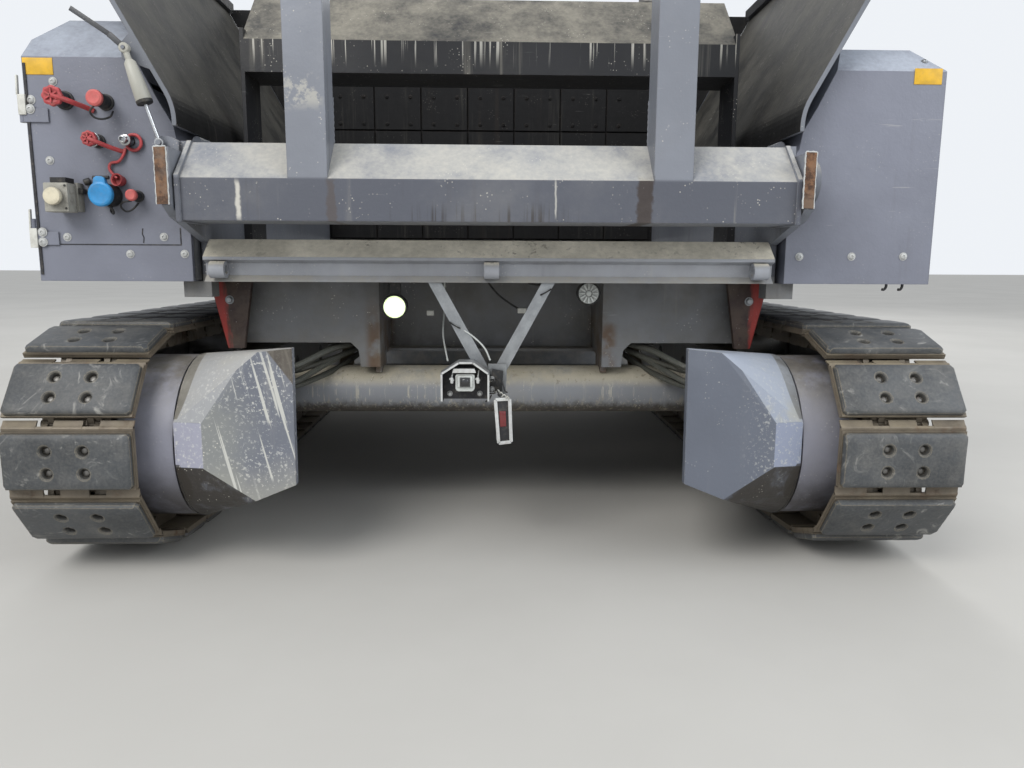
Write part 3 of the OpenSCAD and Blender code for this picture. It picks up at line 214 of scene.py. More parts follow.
def paint(name, base, rough=0.42, dust=0.5, dust_col="#aaa597", streak=0.35, speck=0.4, shade_and_grime=0.5, wear=0.35,
          wear_col="#6d5a4c", scratch=0.25, side_dust=0.12, dark_streak=0.3, marks=None):
    """Painted steel: uneven colour, dust on what faces up, runs of slurry, specks, worn edges."""
    t = Tree(name)
    t.base(hexc(base, 0.94), hexc(base, 1.16), 0.3, 0.7, 2.3, 4)
    if marks:
        marks(t)
    # Painted shade with grime: dark brown in corners and under ledges, in patches
    g = t.times(t.corner_shade(), t.blot(0.25, 0.7, 9, 3), shade_and_grime)
    t.over("#2a2723", g)
    upright = t.ramp(t.size(t.nz), 0.75, 0.2)
    where = t.blot(0.42, 0.68, 1.7, 2)
    t.over("#bdb8aa", t.runs(26), where, upright, streak)
    where = t.blot(0.45, 0.7, 1.3, 2, 0.5, t.at((5.0, 2.0, 9.0)))
    t.over("#3b3128", t.runs(19, (3.1, 7.7, 1.3), 0.56, 0.70), where, upright, dark_streak)
    cloud = t.blot(0.28, 0.66, 6.0, 6, 0.65)
    fine = t.blot(0.3, 0.7, 70, 3, 0.7)
    d = t.times(t.ramp(t.nz, 0.15, 0.85), t.add(t.times(cloud, 0.75), t.times(fine, 0.25)), dust)
    side = t.times(t.blot(0.45, 0.78, 3.1, 6, 0.68), side_dust)
    d = t.math("MINIMUM", t.add(d, side), 0.95)
    t.over(dust_col, d)
    vor = t.n("TexVoronoi", Vector=t.co, Scale=95.0).outputs[0]
    sp = t.times(t.ramp(vor, 0.20, 0.13), t.blot(0.52, 0.66, 13, 2))
    t.over("#cfcbc0", sp, speck)
    sc = t.blot(0.70, 0.76, 1.0, 2, 0.5, t.at(scale=(9, 9, 160), rot=(0.5, 0.3, 0.2)))
    t.over("#b7b6b2", sc, t.blot(0.5, 0.62, 2.9, 2), scratch)
    e = t.times(t.edge(), t.blot(0.42, 0.62, 24, 4, 0.7))
    t.over(wear_col, e, wear)
    r = t.add(t.times(d, 0.45), t.add(t.times(t.noise(40, 2), 0.12), rough - 0.06))
    r = t.math("MINIMUM", t.add(r, t.times(g, 0.3)), 1.0)
    h = t.add(t.times(t.noise(180, 2), 0.25), t.times(fine, 0.5))
    return t.finish(Roughness=r, Normal=t.bump(h, 0.35, 0.0012))


def metal(name, base, rough=0.45, rust=0.3, rust_col="#7a5238", dust=0.25, metallic=0.75, bumpy=0.25,
          pale="#a7a195"):
    """Bare or plated steel with rust blooms and dust."""
    t = Tree(name, 0.0015)
    t.base(base, hexc(base, 0.62), 0.3, 0.72, 11, 5, 0.7)
    bloom = t.ramp(t.noise(7.5, 7, 0.72), 0.66 - rust * 0.3, 0.82 - rust * 0.3)
    rusty = t.mix(t.blot(0.35, 0.65, 45, 4, 0.7), rust_col, "#3f2a20")
    t.over(rusty, bloom, min(1.0, 0.35 + rust))
    up = t.add(t.times(t.ramp(t.nz, 0.1, 0.9), 0.8), 0.2)
    d = t.times(up, t.blot(0.3, 0.7, 8, 6, 0.66), dust)
    t.over(pale, d)
    # Painted shade: dark brown in creases
    t.over("#26221e", t.corner_shade(0.05), 0.45)
    worn = t.math("MAXIMUM", bloom, d)
    m = t.times(t.sub(1.0, worn), metallic)
    r = t.add(rough, t.times(worn, 0.4), True)
    return t.finish(Roughness=r, Metallic=m,
                    Normal=t.bump(t.add(t.noise(120, 4, 0.7), bloom), bumpy, 0.0012))


def rubber(name, base="#3d4043", dust=0.4, dust_col="#8d8a84", edge_col="#9a8f77", scuff=0.55):
    """Road-worn rubber: pale swirling scuffs, tan dust along the edges and in the holes."""
    t = Tree(name, 0.005)
    t.base(hexc(base, 0.8), hexc(base, 1.35), 0.3, 0.7, 5, 5, 0.65)
    cloud = t.blot(0.42, 0.78, 9, 6, 0.7)
    fine = t.blot(0.35, 0.7, 130, 2, 0.7)
    d = t.times(t.add(t.times(cloud, 0.7), t.times(fine, 0.3)), dust)
    t.over(dust_col, d)
    bend = t.n("VectorMath", {"operation": "ADD"}, i0=t.co,
               i1=t.n("TexNoise", Vector=t.co, Scale=4.5, Detail=2).outputs[1]).outputs[0]
    swirl = t.blot(0.55, 0.74, 1.0, 4, 0.65, t.at(scale=(3, 26, 26), rot=(0.2, 0.5, 0.3), vec=bend))
    t.over("#b3b1ab", swirl, t.blot(0.4, 0.6, 6, 2), scuff)
    e = t.times(t.edge(), t.blot(0.3, 0.5, 19, 4, 0.7))
    t.over(edge_col, e, 0.9)
    # Painted shade: dark brown in the holes and corners
    t.over("#3a342b", t.corner_shade(0.03), 0.55)
    h = t.add(t.noise(90, 5, 0.7), t.times(t.noise(350, 2), 0.4))
    return t.finish(Roughness=t.add(0.5, t.times(d, 0.4)), Normal=t.bump(h, 0.5, 0.0016))


def plastic(name, base, rough=0.4, dirt=0.35, dirt_col="#8d8475"):
    """Moulded plastic or plain paint with blots of dirt."""
    t = Tree(name, 0.0012)
    t.base(base, hexc(base, 0.78), 0.3, 0.7, 30, 4)
    t.over(dirt_col, t.blot(0.48, 0.7, 55, 5, 0.7), dirt)
    # Painted shade: dark brown in creases
    t.over("#2a2420", t.corner_shade(0.02), 0.5)
    return t.finish(Roughness=t.add(rough, t.times(t.noise(50, 2), 0.2)),
                    Normal=t.bump(t.noise(300, 2), 0.15, 0.0006))


def vinyl(name, base):
    """Seat vinyl with a fine leather grain, greyed by dust."""
    t = Tree(name)
    grain = t.n("TexVoronoi", {"feature": "SMOOTH_F1"}, Vector=t.co, Scale=450.0).outputs[0]
    t.base(base, hexc(base, 1.9), 0.35, 0.75, 7, 5, 0.7)
    t.over("#87817a", t.blot(0.45, 0.75, 14, 6, 0.7), 0.22)
    # Painted shade: near black in creases
    t.over("#0c0c0d", t.corner_shade(0.02), 0.6)
    return t.finish(Roughness=0.62, Normal=t.bump(grain, 0.35, 0.0008), Sheen_Weight=0.2)


GRID = 0.024       # spacing of the bars on tread plate


def chequer(name, base="#7c7f84"):
    """Raised tread plate: two crossed families of small bars on what faces up."""
    t = Tree(name)

    def bars(angle, loc):
        x, y, _ = t.n("SeparateXYZ", Vector=t.at(loc, rot=(0, 0, angle))).outputs
        return t.times(t.ramp(t.math("PINGPONG", x, GRID), 0.0045, 0.0025),
                       t.ramp(t.math("PINGPONG", y, GRID), 0.019, 0.016))
    up = t.ramp(t.nz, 0.2, 0.8)
    high = t.times(t.math("MAXIMUM", bars(0.785, (0, 0, 0)), bars(-0.785, (GRID, GRID, 0))), up)
    t.base(base, hexc(base, 0.7), 0.3, 0.7, 4, 5)
    t.over("#a49e91", t.blot(0.35, 0.7, 7, 6, 0.7), 0.45)
    t.over("#b9b9b6", high, 0.5)
    # Painted shade: dark brown in corners
    t.over("#2a2723", t.corner_shade(), 0.4)
    return t.finish(Roughness=0.5, Metallic=0.2,
                    Normal=t.bump(t.add(high, t.times(t.noise(90, 3), 0.08)), 0.9, 0.0035))


def glow(name, color, strength):
    """A lit lens."""
    t = Tree(name)
    t.base(color, "#ffffff", 0.3, 0.7, 60, 2)
    return t.finish(Roughness=0.2, Emission_Color=hexc(color), Emission_Strength=strength)


def glass(name, color, rough=0.08):
    """Dark or tinted glass with a clear coat."""
    t = Tree(name)
    t.base(color, hexc(color, 0.7), 0.35, 0.7, 25, 3)
    return t.finish(Roughness=rough, Coat_Weight=1.0, Coat_Roughness=0.04)


# What is particular to single faces of the machine, whose edges lie where the source has them
CORNER_X, CORNER_LOW, CORNER_HIGH = 0.772, 0.321, 0.444      # side facet of a motor guard
DRUM = (323, 360)                                            # the drums' axis, station and height in mm
DRUM_Y, DRUM_Z = YS + DRUM[0] / 1000, DRUM[1] / 1000
RIM_X = 0.844
TUBE_Z = 0.451                                               # axis of the cross tube
FLAT = (-0.75, -0.95)                                        # what faces the front, by its normal


def gate_marks(t):
    """The beam's front gets painted shade, darker than its dusty slope, and carries runs and one dark patch.
    """
    front = t.ramp(t.ny, *FLAT)
    face = t.times(front, t.ramp(t.z, 1.088, 1.078))
    # Painted shade: the front face turns a darker blue-grey
    t.over("#4c4f59", face, 0.9)
    low = t.times(t.runs(60, (1, 4, 2), 0.50, 0.62), t.ramp(t.z, 1.035, 0.985), face)
    t.over("#2f2a26", low, t.band(t.x, -0.25, 0.2, 0.08), 0.8)
    for stain in (((-0.655, -0.644), (0.979, 1.076), "#cfccc2", 0.8, 0.003, 0.006),
                  ((-0.424, -0.402), (0.965, 1.082), "#4d4138", 0.55),
                  ((0.378, 0.420), (0.965, 1.092), "#33271f", 0.85),
                  ((0.164, 0.168), (0.99, 1.082), "#c8c6be", 0.7, 0.002, 0.003)):
        t.spot(*stain)
    splash = t.times(t.blot(0.50, 0.60, 21, 5, 0.7), t.band(t.x, -0.53, -0.43, 0.012),
                     t.band(t.z, 1.26, 1.33, 0.02))
    t.over("#b9b6ac", splash, 0.6)


def guard_marks(t, dirty):
    """Each facet gets its own painted light and shade, and the faces carry dirt and flecks; dark crescents of
    painted shade stand for the recesses at the rim, and what faces down gets painted shade.
    """
    face = t.ramp(t.ny, -0.93, -0.98)
    above = t.times(t.ramp(t.nz, 0.22, 0.35), t.sub(1.0, face))
    ax = t.size(t.x)
    outer = t.add(ax, t.times(t.sub(t.z, CORNER_HIGH), 0.694))
    wedge = t.times(face, t.ramp(t.z, CORNER_HIGH - 0.001, CORNER_HIGH + 0.002),
                    t.ramp(outer, CORNER_X, CORNER_X + 0.003))
    above = t.math("MAXIMUM", above, wedge)
    side = t.times(t.ramp(ax, CORNER_X, CORNER_X + 0.003), t.band(t.z, CORNER_LOW, CORNER_HIGH, 0.002))
    face = t.times(face, t.ramp(ax, CORNER_X + 0.004, CORNER_X), t.sub(1.0, wedge))
    fleck = t.blot(0.54, 0.66, 95, 3, 0.75)
    if dirty:
        # Painted light: the upper facets and the side facet turn paler
        t.over("#a6a7a8", above, 0.85)
        t.over("#a2a3b3", side, 0.85)
        t.over("#cfcfca", fleck, t.blot(0.3, 0.6, 4, 3), 0.75)
        veil = t.ramp(t.add(ax, t.times(t.noise(5, 4), 0.25)), 0.76, 0.88)
        t.over("#8d8f89", veil, face, 0.6)
        low = t.times(t.ramp(t.add(t.z, t.times(t.noise(6, 4), 0.1)), 0.42, 0.28), face)
        t.over("#9c9b92", low, 0.7)
        lean = t.at(rot=(0, 0.227, 0))
        line = t.blot(0.63, 0.67, 1.0, 2, 0.4, t.at((0.3, 0, 0.4), (95, 1, 2.2), vec=lean))
        t.over("#c4c4be", line, t.blot(0.42, 0.52, 5, 2), face, 0.9)
        mud = t.add(t.sub(t.z, 0.634), t.times(t.add(t.x, 0.591), 1.36))
        t.over("#4a4238", t.ramp(mud, 0.0, 0.008), face, 0.9)
    else:
        # Painted light: pale blue-grey on the upper facets and the side facet
        t.over("#a3abba", above, 0.8)
        t.over("#a9a695", above, t.ramp(t.z, 0.53, 0.46), t.blot(0.4, 0.6, 14, 4), 0.7)
        t.over("#9098ad", side, 0.85)
        near = t.ramp(t.x, 0.66, 0.77)
        t.over("#b9bab6", fleck, near, 0.6)
    # Painted shade: dark crescents at the rim stand for its recesses
    turn = t.math("ARCTAN2", t.sub(t.z, DRUM_Z), t.sub(DRUM_Y, t.y))
    for mid, half, deep, colour in ((0.97, 0.61, 0.028, "#5a5548"), (-0.415, 0.285, 0.026, "#2e2a26")):
        off = t.math("DIVIDE", t.sub(turn, mid), half)
        lens = t.sub(1.0, t.times(off, off))
        inner = t.sub(RIM_X, t.times(lens, deep))
        m = t.times(t.ramp(t.sub(ax, inner), -0.002, 0.002), t.ramp(lens, 0.0, 0.05))
        t.over(colour, m, 0.85)
    # Painted shade in patches on what faces down
    below = t.times(t.ramp(t.nz, -0.12, -0.3), t.blot(0.2, 0.5, 13, 5, 0.7))
    t.over("#2d2822", below, 0.95)


def drum_marks(t):
    """Dark mud on the lower half and brown dust on top."""
    low = t.times(t.ramp(t.z, 0.36, 0.15), t.blot(0.2, 0.6, 7, 5, 0.7))
    t.over("#322d27", low, 0.9)
    top = t.times(t.ramp(t.nz, 0.45, 0.9), t.blot(0.3, 0.6, 9, 5, 0.7))
    t.over("#4d463a", top, 0.8)


def bridge_marks(t):
    """Pale drips from the upper edge of the front."""
    front = t.ramp(t.ny, *FLAT)
    drip = t.times(t.runs(64, (2, 1, 7), 0.57, 0.61), t.ramp(t.z, 1.48, 1.56), front)
    t.over("#c9c6bd", drip, 0.9)


def sill_marks(t):
    """Caked cream dust with painted light on the ledge, near white, with dark spots; a cleaner web under it.
    """
    ledge = t.times(t.ramp(t.nz, 0.3, 0.6), t.ramp(t.z, 0.86, 0.872))
    # Painted light and cream dust: the ledge turns near white
    t.over("#fbf3df", ledge, 0.95)
    dots = t.times(t.blot(0.56, 0.62, 34, 5, 0.75), t.blot(0.4, 0.6, 5, 2), ledge)
    t.over("#4c4438", dots, 0.8)


def wing_marks(t):
    """Scoured inner side, nearly black from bitumen and painted shade; the front edge and the outside keep
    the paint.
    """
    inner = t.ramp(t.times(t.math("SIGN", t.x), t.nx), -0.25, -0.45)
    v = t.at(scale=(30, 30, 1.6), rot=(0.0, 0.45, 0))
    # Bitumen black with painted shade on the inner side
    dark = t.mix(t.blot(0.42, 0.62, 1.0, 6, 0.7, v), "#101011", "#040405")
    scour = t.times(t.blot(0.60, 0.72, 1.0, 5, 0.65, t.at((4, 9, 2), (24, 24, 1.2))), 0.40)
    t.over(t.mix(scour, dark, "#6a665f"), inner)


def back_marks(t):
    """Faint upright streaks."""
    t.over("#34332f", t.blot(0.55, 0.70, 1.0, 5, 0.7, t.at(scale=(22, 22, 1.3))), 0.5)


def tube_marks(t):
    """Pale dust with painted light on top, painted shade with dark mud below, and dried drips."""
    h = t.sub(t.z, TUBE_Z)
    # Painted shade with mud: the lower half turns dark brown
    low = t.ramp(t.add(h, t.times(t.noise(1.0, 4, 0.7, t.at(scale=(60, 60, 9))), 0.05)), 0.0, -0.035)
    t.over("#3b342b", low, 0.9)
    drip = t.times(t.runs(70, (1, 5, 3), 0.56, 0.66), t.ramp(h, 0.01, -0.04))
    t.over("#a29a88", drip, 0.55)
    thin = t.times(t.runs(110, (2, 9, 4), 0.57, 0.64), t.ramp(h, -0.075, -0.01), t.blot(0.4, 0.55, 4, 2))
    t.over("#bdb7a8", thin, 0.6)
    # Pale dust with painted light over the upper half
    top = t.times(t.ramp(h, 0.01, 0.05), t.blot(0.2, 0.5, 7, 5, 0.7))
    t.over("#c3bba6", top, 0.85)
    t.over("#5a5143", t.blot(0.58, 0.66, 48, 4, 0.75), top, 0.7)


def web_marks(t):
    """Rust runs at the feet of the webs and a veil of road dirt."""
    t.over("#6b675e", t.blot(0.35, 0.7, 5, 6, 0.7), 0.5)
    ax = t.size(t.x)
    foot = t.times(t.band(ax, 0.352, 0.40, 0.015), t.ramp(t.z, 0.80, 0.62), t.blot(0.35, 0.6, 14, 4))
    t.over("#5d4327", foot, 0.85)


def gusset_marks(t):
    """Red is left along the outer edge, the rest is brown and black with dirt."""
    rim = t.add(0.6876, t.times(t.z, 0.2264))
    d = t.sub(rim, t.size(t.x))
    d = t.sub(d, t.times(t.sub(t.z, 0.64), 0.18))
    d = t.add(d, t.times(t.sub(t.noise(1.0, 4, 0.7, t.at(scale=(30, 30, 7))), 0.5), 0.06))
    dirt = t.mix(t.blot(0.35, 0.6, 17, 5, 0.7), "#3f382e", "#1f1c19")
    t.over(dirt, t.ramp(d, 0.004, 0.022), 0.95)


# Shapes
def W(p):
    """Millimetres at the source's stations to metres in the frame."""
    return Vector((p[0] / 1000, p[1] / 1000 + YS, p[2] / 1000))


def turns(n):
    """n equal turns of a circle, in radians."""
    return [2 * pi * i / n for i in range(n)]


class Mesh:
    """Points in millimetres and faces, put together from simple solids."""
    def __init__(self):
        self.v, self.f = [], []

    def add(self, verts, faces):
        k = len(self.v)
        self.v += [tuple(p) for p in verts]
        self.f += [tuple(i + k for i in f) for f in faces]
        return self

    def box(self, x0, x1, y0, y1, z0, z1):
        return self.prism([(x0, y0), (x1, y0), (x1, y1), (x0, y1)], 2, z0, z1)

    def beam(self, p, q, w, h, up=(0, 0, 1)):
        """A bar from p to q, w wide and h high."""
        p, q = Vector(p), Vector(q)
        d = (q - p).normalized()
        a = (Vector(up) - Vector(up).dot(d) * d).normalized()
        b = d.cross(a)
        a, b = a * h / 2, b * w / 2
        return self.skin([[c - a - b, c + a - b, c + a + b, c - a + b] for c in (p, q)])

    def prism(self, pts, axis, a, b):
        """Outline pts extruded along axis 0 (points are y, z), 1 (x, z) or 2 (x, y)."""
        area = sum(p[0] * q[1] - q[0] * p[1] for p, q in zip(pts, pts[1:] + pts[:1]))
        if (area < 0) != (axis == 1):
            pts = pts[::-1]
        return self.skin([[(*p[:axis], t, *p[axis:]) for p in pts] for t in sorted((a, b))])

    def skin(self, rings):
        """Joins rings of equal count into one closed body with flat ends."""
        n, m = len(rings[0]), len(rings)
        f = [(k * n + i, k * n + (i + 1) % n, (k + 1) * n + (i + 1) % n, (k + 1) * n + i)
             for k in range(m - 1) for i in range(n)]
        f += [tuple(range(n))[::-1], tuple((m - 1) * n + i for i in range(n))]
        return self.add([p for ring in rings for p in ring], f)

    def lathe(self, p, d, prof, n=24, wave=0.0, lobes=0):
        """prof is a list of (distance along d, radius), closed at both ends; wave gives it lobes."""
        p, d = Vector(p), Vector(d).normalized()
        a = d.orthogonal().normalized()
        b = d.cross(a)
        return self.skin([[p + t * d + max(r, 0.01) * (1 + wave * cos(lobes * u)) * (cos(u) * a + sin(u) * b)
                           for u in turns(n)] for t, r in prof])

    def cyl(self, p, q, r, n=20, c=0.0):
        """A round bar from p to q with its ends broken by c."""
        p, q = Vector(p), Vector(q)
        l = (q - p).length
        c = min(c, l / 2.1, r * 0.6)
        prof = [(0, r), (l, r)] if c <= 0 else [(0, r - c), (c, r), (l - c, r), (l, r - c)]
        return self.lathe(p, q - p, prof, n)

    def tube(self, path, r, n=10):
        """A round bar along path."""
        pts = [Vector(p) for p in path]
        a = (pts[1] - pts[0]).orthogonal().normalized()
        rings = []
        for i, p in enumerate(pts):
            d = (pts[min(i + 1, len(pts) - 1)] - pts[max(i - 1, 0)]).normalized()
            a = (a - a.dot(d) * d).normalized()
            b = d.cross(a)
            rings.append([p + r * (cos(u) * a + sin(u) * b) for u in turns(n)])
        return self.skin(rings)

    def strap(self, pts, r, n=8, steps=6):
        """A tube along the smooth line through pts."""
        return self.tube(smooth_path(pts, steps), r, n)

    def torus(self, c, d, big, r, n=28, k=8):
        """A ring of radius big round the axis d, its bar of radius r."""
        c, d = Vector(c), Vector(d).normalized()
        a = d.orthogonal().normalized()
        b = d.cross(a)
        v = []
        for u in turns(n):
            out = cos(u) * a + sin(u) * b
            v += [c + out * (big + r * cos(w)) + d * r * sin(w) for w in turns(k)]
        f = [(i * k + j, (i + 1) % n * k + j, (i + 1) % n * k + (j + 1) % k, i * k + (j + 1) % k)
             for i in range(n) for j in range(k)]
        return self.add(v, f)

    def bolt(self, p, d, s=9, h=8):
        """Hexagon head with its washer, seated at p and pointing along d."""
        p, d = Vector(p), Vector(d).normalized()
        self.lathe(p, d, [(-1, s * 1.35), (1.6, s * 1.35)], 16)
        return self.lathe(p + 1.6 * d, d, [(-1, s), (h * 0.75, s), (h, s * 0.8)], 6)

    def dome(self, p, d, r=9):
        """Button-head screw with its socket."""
        self.lathe(p, d, [(-1, r * 1.3), (1.2, r * 1.3)], 18)
        prof = [(0, r), (2.5, r * 0.95), (4.6, r * 0.72), (5.6, r * 0.42), (4.0, r * 0.34)]
        return self.lathe(p, d, prof, 18)

    def mirror(self):
        """Adds the same again on the other side of the machine."""
        k, m = len(self.v), len(self.f)
        self.v += [(-x, y, z) for x, y, z in self.v[:k]]
        self.f += [tuple(i + k for i in f[::-1]) for f in self.f[:m]]
        return self


def smooth_path(pts, steps=6):
    """Catmull-Rom line through the points."""
    P = [Vector(p) for p in pts]
    P = [2 * P[0] - P[1]] + P + [2 * P[-1] - P[-2]]
    out = []
    for i in range(1, len(P) - 2):
        a, b, c, d = P[i - 1], P[i], P[i + 1], P[i + 2]
        for k in range(steps):
            t = k / steps
            out.append(0.5 * (2 * b + (c - a) * t + (2 * a - 5 * b + 4 * c - d) * t * t
                              + (3 * b - a - 3 * c + d) * t ** 3))
    out.append(P[-2])
    return out


SHARP = radians(28)      # edges that turn more than this get a bevel


def make(name, m, mat, body="machine", bevel=0.0, seg=2, angle=35, fix=False):
    """Turns a Mesh in millimetres into a piece that rides on a body."""
    me = bpy.data.meshes.new(name)
    me.from_pydata([W(p) for p in m.v], [], m.f)
    if bevel > 0 or fix:
        bm = bmesh.new()
        bm.from_mesh(me)
        if fix:
            bmesh.ops.recalc_face_normals(bm, faces=bm.faces)
        if bevel > 0:
            edges = [e for e in bm.edges if len(e.link_faces) == 2 and e.calc_face_angle(0) > SHARP]
            bmesh.ops.bevel(bm, geom=edges, offset=bevel / 1000, segments=seg, affect="EDGES", profile=0.6,
                            clamp_overlap=True)
        bm.to_mesh(me)
        bm.free()
    me.validate()
    me.polygons.foreach_set("use_smooth", [True] * len(me.polygons))
    me.set_sharp_from_angle(angle=radians(angle))
    me.materials.append(M[mat])
    o = place(name, me)
    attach(o, body)
    return o


# Finishes, named for what they cover
M = {
    "paint": paint("grey_paint", "#6f737c"),
    # Pale blue-grey on what faces up: dust with painted skylight
    "cabinet": paint("cabinet_paint", "#747783", dust=0.8, dust_col="#b9c1cd", streak=0.1, speck=0.2,
                     shade_and_grime=0.35, wear=0.25, scratch=0.3, side_dust=0.06, dark_streak=0.12, rough=0.36),
    "gate": paint("gate_paint", "#7b7f88", dust=0.85, dust_col="#c3c0b6", streak=0.45, speck=0.6,
                  shade_and_grime=0.4, wear=0.4, side_dust=0.1, dark_streak=0.35, marks=gate_marks),
    "sill": paint("sill_paint", "#9c9fa6", dust=0.8, dust_col="#a8a395", streak=0.3, wear=0.3,
                  side_dust=0.15, rough=0.5, marks=sill_marks),
    "guard_left": paint("guard_dirty", "#686c76", dust=0.75, dust_col="#a8a59d", streak=0.2, speck=0.9,
                        shade_and_grime=0.3, wear=0.7, wear_col="#b3b0a6", scratch=0.5, side_dust=0.25,
                        dark_streak=0.1, rough=0.45, marks=lambda t: guard_marks(t, True)),
    "guard_right": paint("guard_clean", "#5b606b", dust=0.7, dust_col="#9fa4ab", streak=0.1, speck=0.35,
                         shade_and_grime=0.2, wear=0.55, wear_col="#b3b1a9", scratch=0.2, side_dust=0.1,
                         dark_streak=0.05, rough=0.4, marks=lambda t: guard_marks(t, False)),
    "drum": paint("drum_paint", "#7a7b86", dust=0.3, speck=0.3, shade_and_grime=0.4, wear=0.3, scratch=0.3,
                  side_dust=0.1, rough=0.45, marks=drum_marks),
    # Near-black base: painted shade on the bridge's front, under pale dust and drips
    "bridge": paint("bridge_paint", "#1f2024", dust=0.95, dust_col="#a39e91", streak=0.3, speck=0.7,
                    shade_and_grime=0.4, wear=0.3, side_dust=0.06, dark_streak=0.2, rough=0.5, marks=bridge_marks),
    "wing": paint("wing_paint", "#6d7179", dust=0.4, streak=0.25, speck=0.3, shade_and_grime=0.4, wear=0.5,
                  scratch=0.4, rough=0.6, side_dust=0.05, dark_streak=0.2, marks=wing_marks),
    # Near-black base: painted shade on the hopper's far wall
    "back": paint("back_wall", "#08080b", dust=0.1, dust_col="#3a3a37", streak=0.1, speck=0.15, wear=0.3,
                  side_dust=0.0, dark_streak=0.2, rough=0.85, marks=back_marks),
    "tube": paint("tube_paint", "#84878c", dust_col="#a39b88", streak=0.5, speck=0.6, shade_and_grime=0.4, wear=0.2,
                  side_dust=0.3, dark_streak=0.2, rough=0.5, marks=tube_marks),
    "under": paint("underside_paint", "#77797c", dust=0.8, dust_col="#8f897c", streak=0.4, speck=0.7,
                   shade_and_grime=0.6, wear=0.4, side_dust=0.45, dark_streak=0.5, rough=0.55, marks=web_marks),
    "upper": paint("upper_paint", "#777b84", dust=0.3, streak=0.1, speck=0.1, shade_and_grime=0.3, wear=0.15,
                   scratch=0.1, side_dust=0.05, dark_streak=0.08, rough=0.35),
    "dark": paint("dark_paint", "#3a3c40", dust=0.4, streak=0.15, speck=0.2, dark_streak=0.1),
    "red": paint("red_paint", "#9c2f28", streak=0.2, speck=0.3, side_dust=0.2, wear=0.6,
                 marks=gusset_marks),
    "steel": metal("worn_steel", "#8d8b88", rust=0.25),
    "sleeve": paint("sleeve_paint", "#a5a49b", dust=0.4, streak=0.2, speck=0.3, shade_and_grime=0.4, scratch=0.3),
    "rust": metal("rusty_steel", "#7b6453", rust=0.85, dust=0.3, metallic=0.3, bumpy=0.5,
                  rust_col="#7d5b41"),
    "chain": metal("chain_steel", "#7d7365", rust=0.45, dust=0.75, metallic=0.3, bumpy=0.4,
                   pale="#988d76", rust_col="#6b4e36"),
    "zinc": metal("zinc_plate", "#a9adb1", rust=0.05, dust=0.35, rough=0.35),
    "bright": metal("bright_steel", "#d0d2d4", rust=0.0, dust=0.1, rough=0.2, metallic=1.0),
    "rubber": rubber("track_rubber"),
    "hose": rubber("hose_rubber", "#3c403c", dust=0.45, dust_col="#77736c", edge_col="#6f6a5c", scuff=0.2),
    "cap": plastic("red_cap", "#b8474a", 0.42, 0.25),
    "salmon": plastic("faded_cap", "#cb6562", 0.5, 0.2),
    "blue": plastic("blue_plastic", "#2f8ecb", 0.35, 0.15),
    "beige": plastic("pale_box", "#a5a39a", 0.5, 0.5, "#5c574d"),
    "cream": plastic("cream_knob", "#d8d0b8", 0.4, 0.3),
    "black": plastic("black_plastic", "#1c1d1f", 0.45, 0.2),
    "seal": plastic("dark_seal", "#25262b", 0.5, 0.25),
    "yellow": plastic("label_yellow", "#e2b22a", 0.4, 0.12),
    "white": plastic("pale_trim", "#d6d6cf", 0.4, 0.3),
    "bead": plastic("weld_bead", "#c9cbca", 0.4, 0.3),
    "reflex": glass("red_reflector", "#6d1016"),
    "glass": glass("dark_glass", "#15181c"),
    "lens": glow("lamp_lens", "#fdfdf2", 5.0),
    "halo": glow("lamp_ring", "#cfe6a8", 1.2),
    "frost": plastic("frosted_lens", "#c8ccc9", 0.25, 0.15),
    "vinyl": vinyl("seat_vinyl", "#1f2023"),
    "tread": chequer("tread_plate"),
}
# Finish of each CAD piece; a star stands for left and right
ON = {
    "under": "track_frame_* chassis", "drum": "sprocket_*", "guard_left": "motor_guard_left",
    "guard_right": "motor_guard_right", "tube": "axle_tubes", "red": "tie_brackets", "sill": "front_sill",
    "gate": "hopper_base gate_frame", "bridge": "hopper_bridge", "back": "hopper_back", "chain": "conveyor",
    "wing": "wing_left wing_right", "cabinet": "cabinet_left cabinet_door tank_right", "paint": "gate_pins",
    "black": "work_lamps", "dark": "wing_barrel_* engine railing_posts railings console lift_barrel_*",
    "bright": "wing_rod_* strut_rod lift_rod_*", "steel": "exhaust auger_left auger_right",
    "sleeve": "strut_sleeve", "zinc": "camera_bracket", "beige": "socket_boxes", "hose": "drive_hoses",
    "cap": "couplings", "vinyl": "seats", "tread": "platform screed",
    "upper": "hood hood_door_* canopy tow_brackets screed_ext_* auger_hanger",
}
for mat, names in ON.items():
    for name in names.split():
        for side in ("left", "right") if "*" in name else ("",):
            data = nodes[name.replace("*", side)].data
            data.materials.clear()
            data.materials.append(M[mat])


# Tracks: pins on two round ends and two runs, with a shoe, a backing plate and a pad on each link
PITCH, RUN = 168.0, 16                           # length of a link, links in a straight run
STACK = 64.5                                     # from the line of the pins to the ground
TX = 1105.0                                      # middle of a track
STEP = 36                                        # degrees that a link turns at the ends
PR = PITCH / (2 * sin(radians(STEP / 2)))        # radius of the pins round an end
WY = PR * cos(radians(STEP / 2)) + STACK         # station of the front axis
WZ = 360.0                                       # height of both axes
IY = WY + RUN * PITCH                            # station of the rear axis


def track_pins():
    """The pins' places (y, z) in order; the lower run dips at its ends."""
    def on(y, deg):
        return (y + PR * cos(radians(deg)), WZ + PR * sin(radians(deg)))
    drop = WZ - PR - STACK
    out = [on(WY, 90 + STEP * k) for k in range(6)]
    out += [(WY + j * PITCH, WZ - PR - drop * min(1, min(j, RUN - j) / 2)) for j in range(1, RUN)]
    out += [on(IY, 270 + STEP * k) for k in range(6)]
    return out + [(IY - j * PITCH, WZ + PR) for j in range(1, RUN)]


HOLES = [(x, t) for x in (-48, 48) for t in (-23, 37)]      # the bolts of a pad


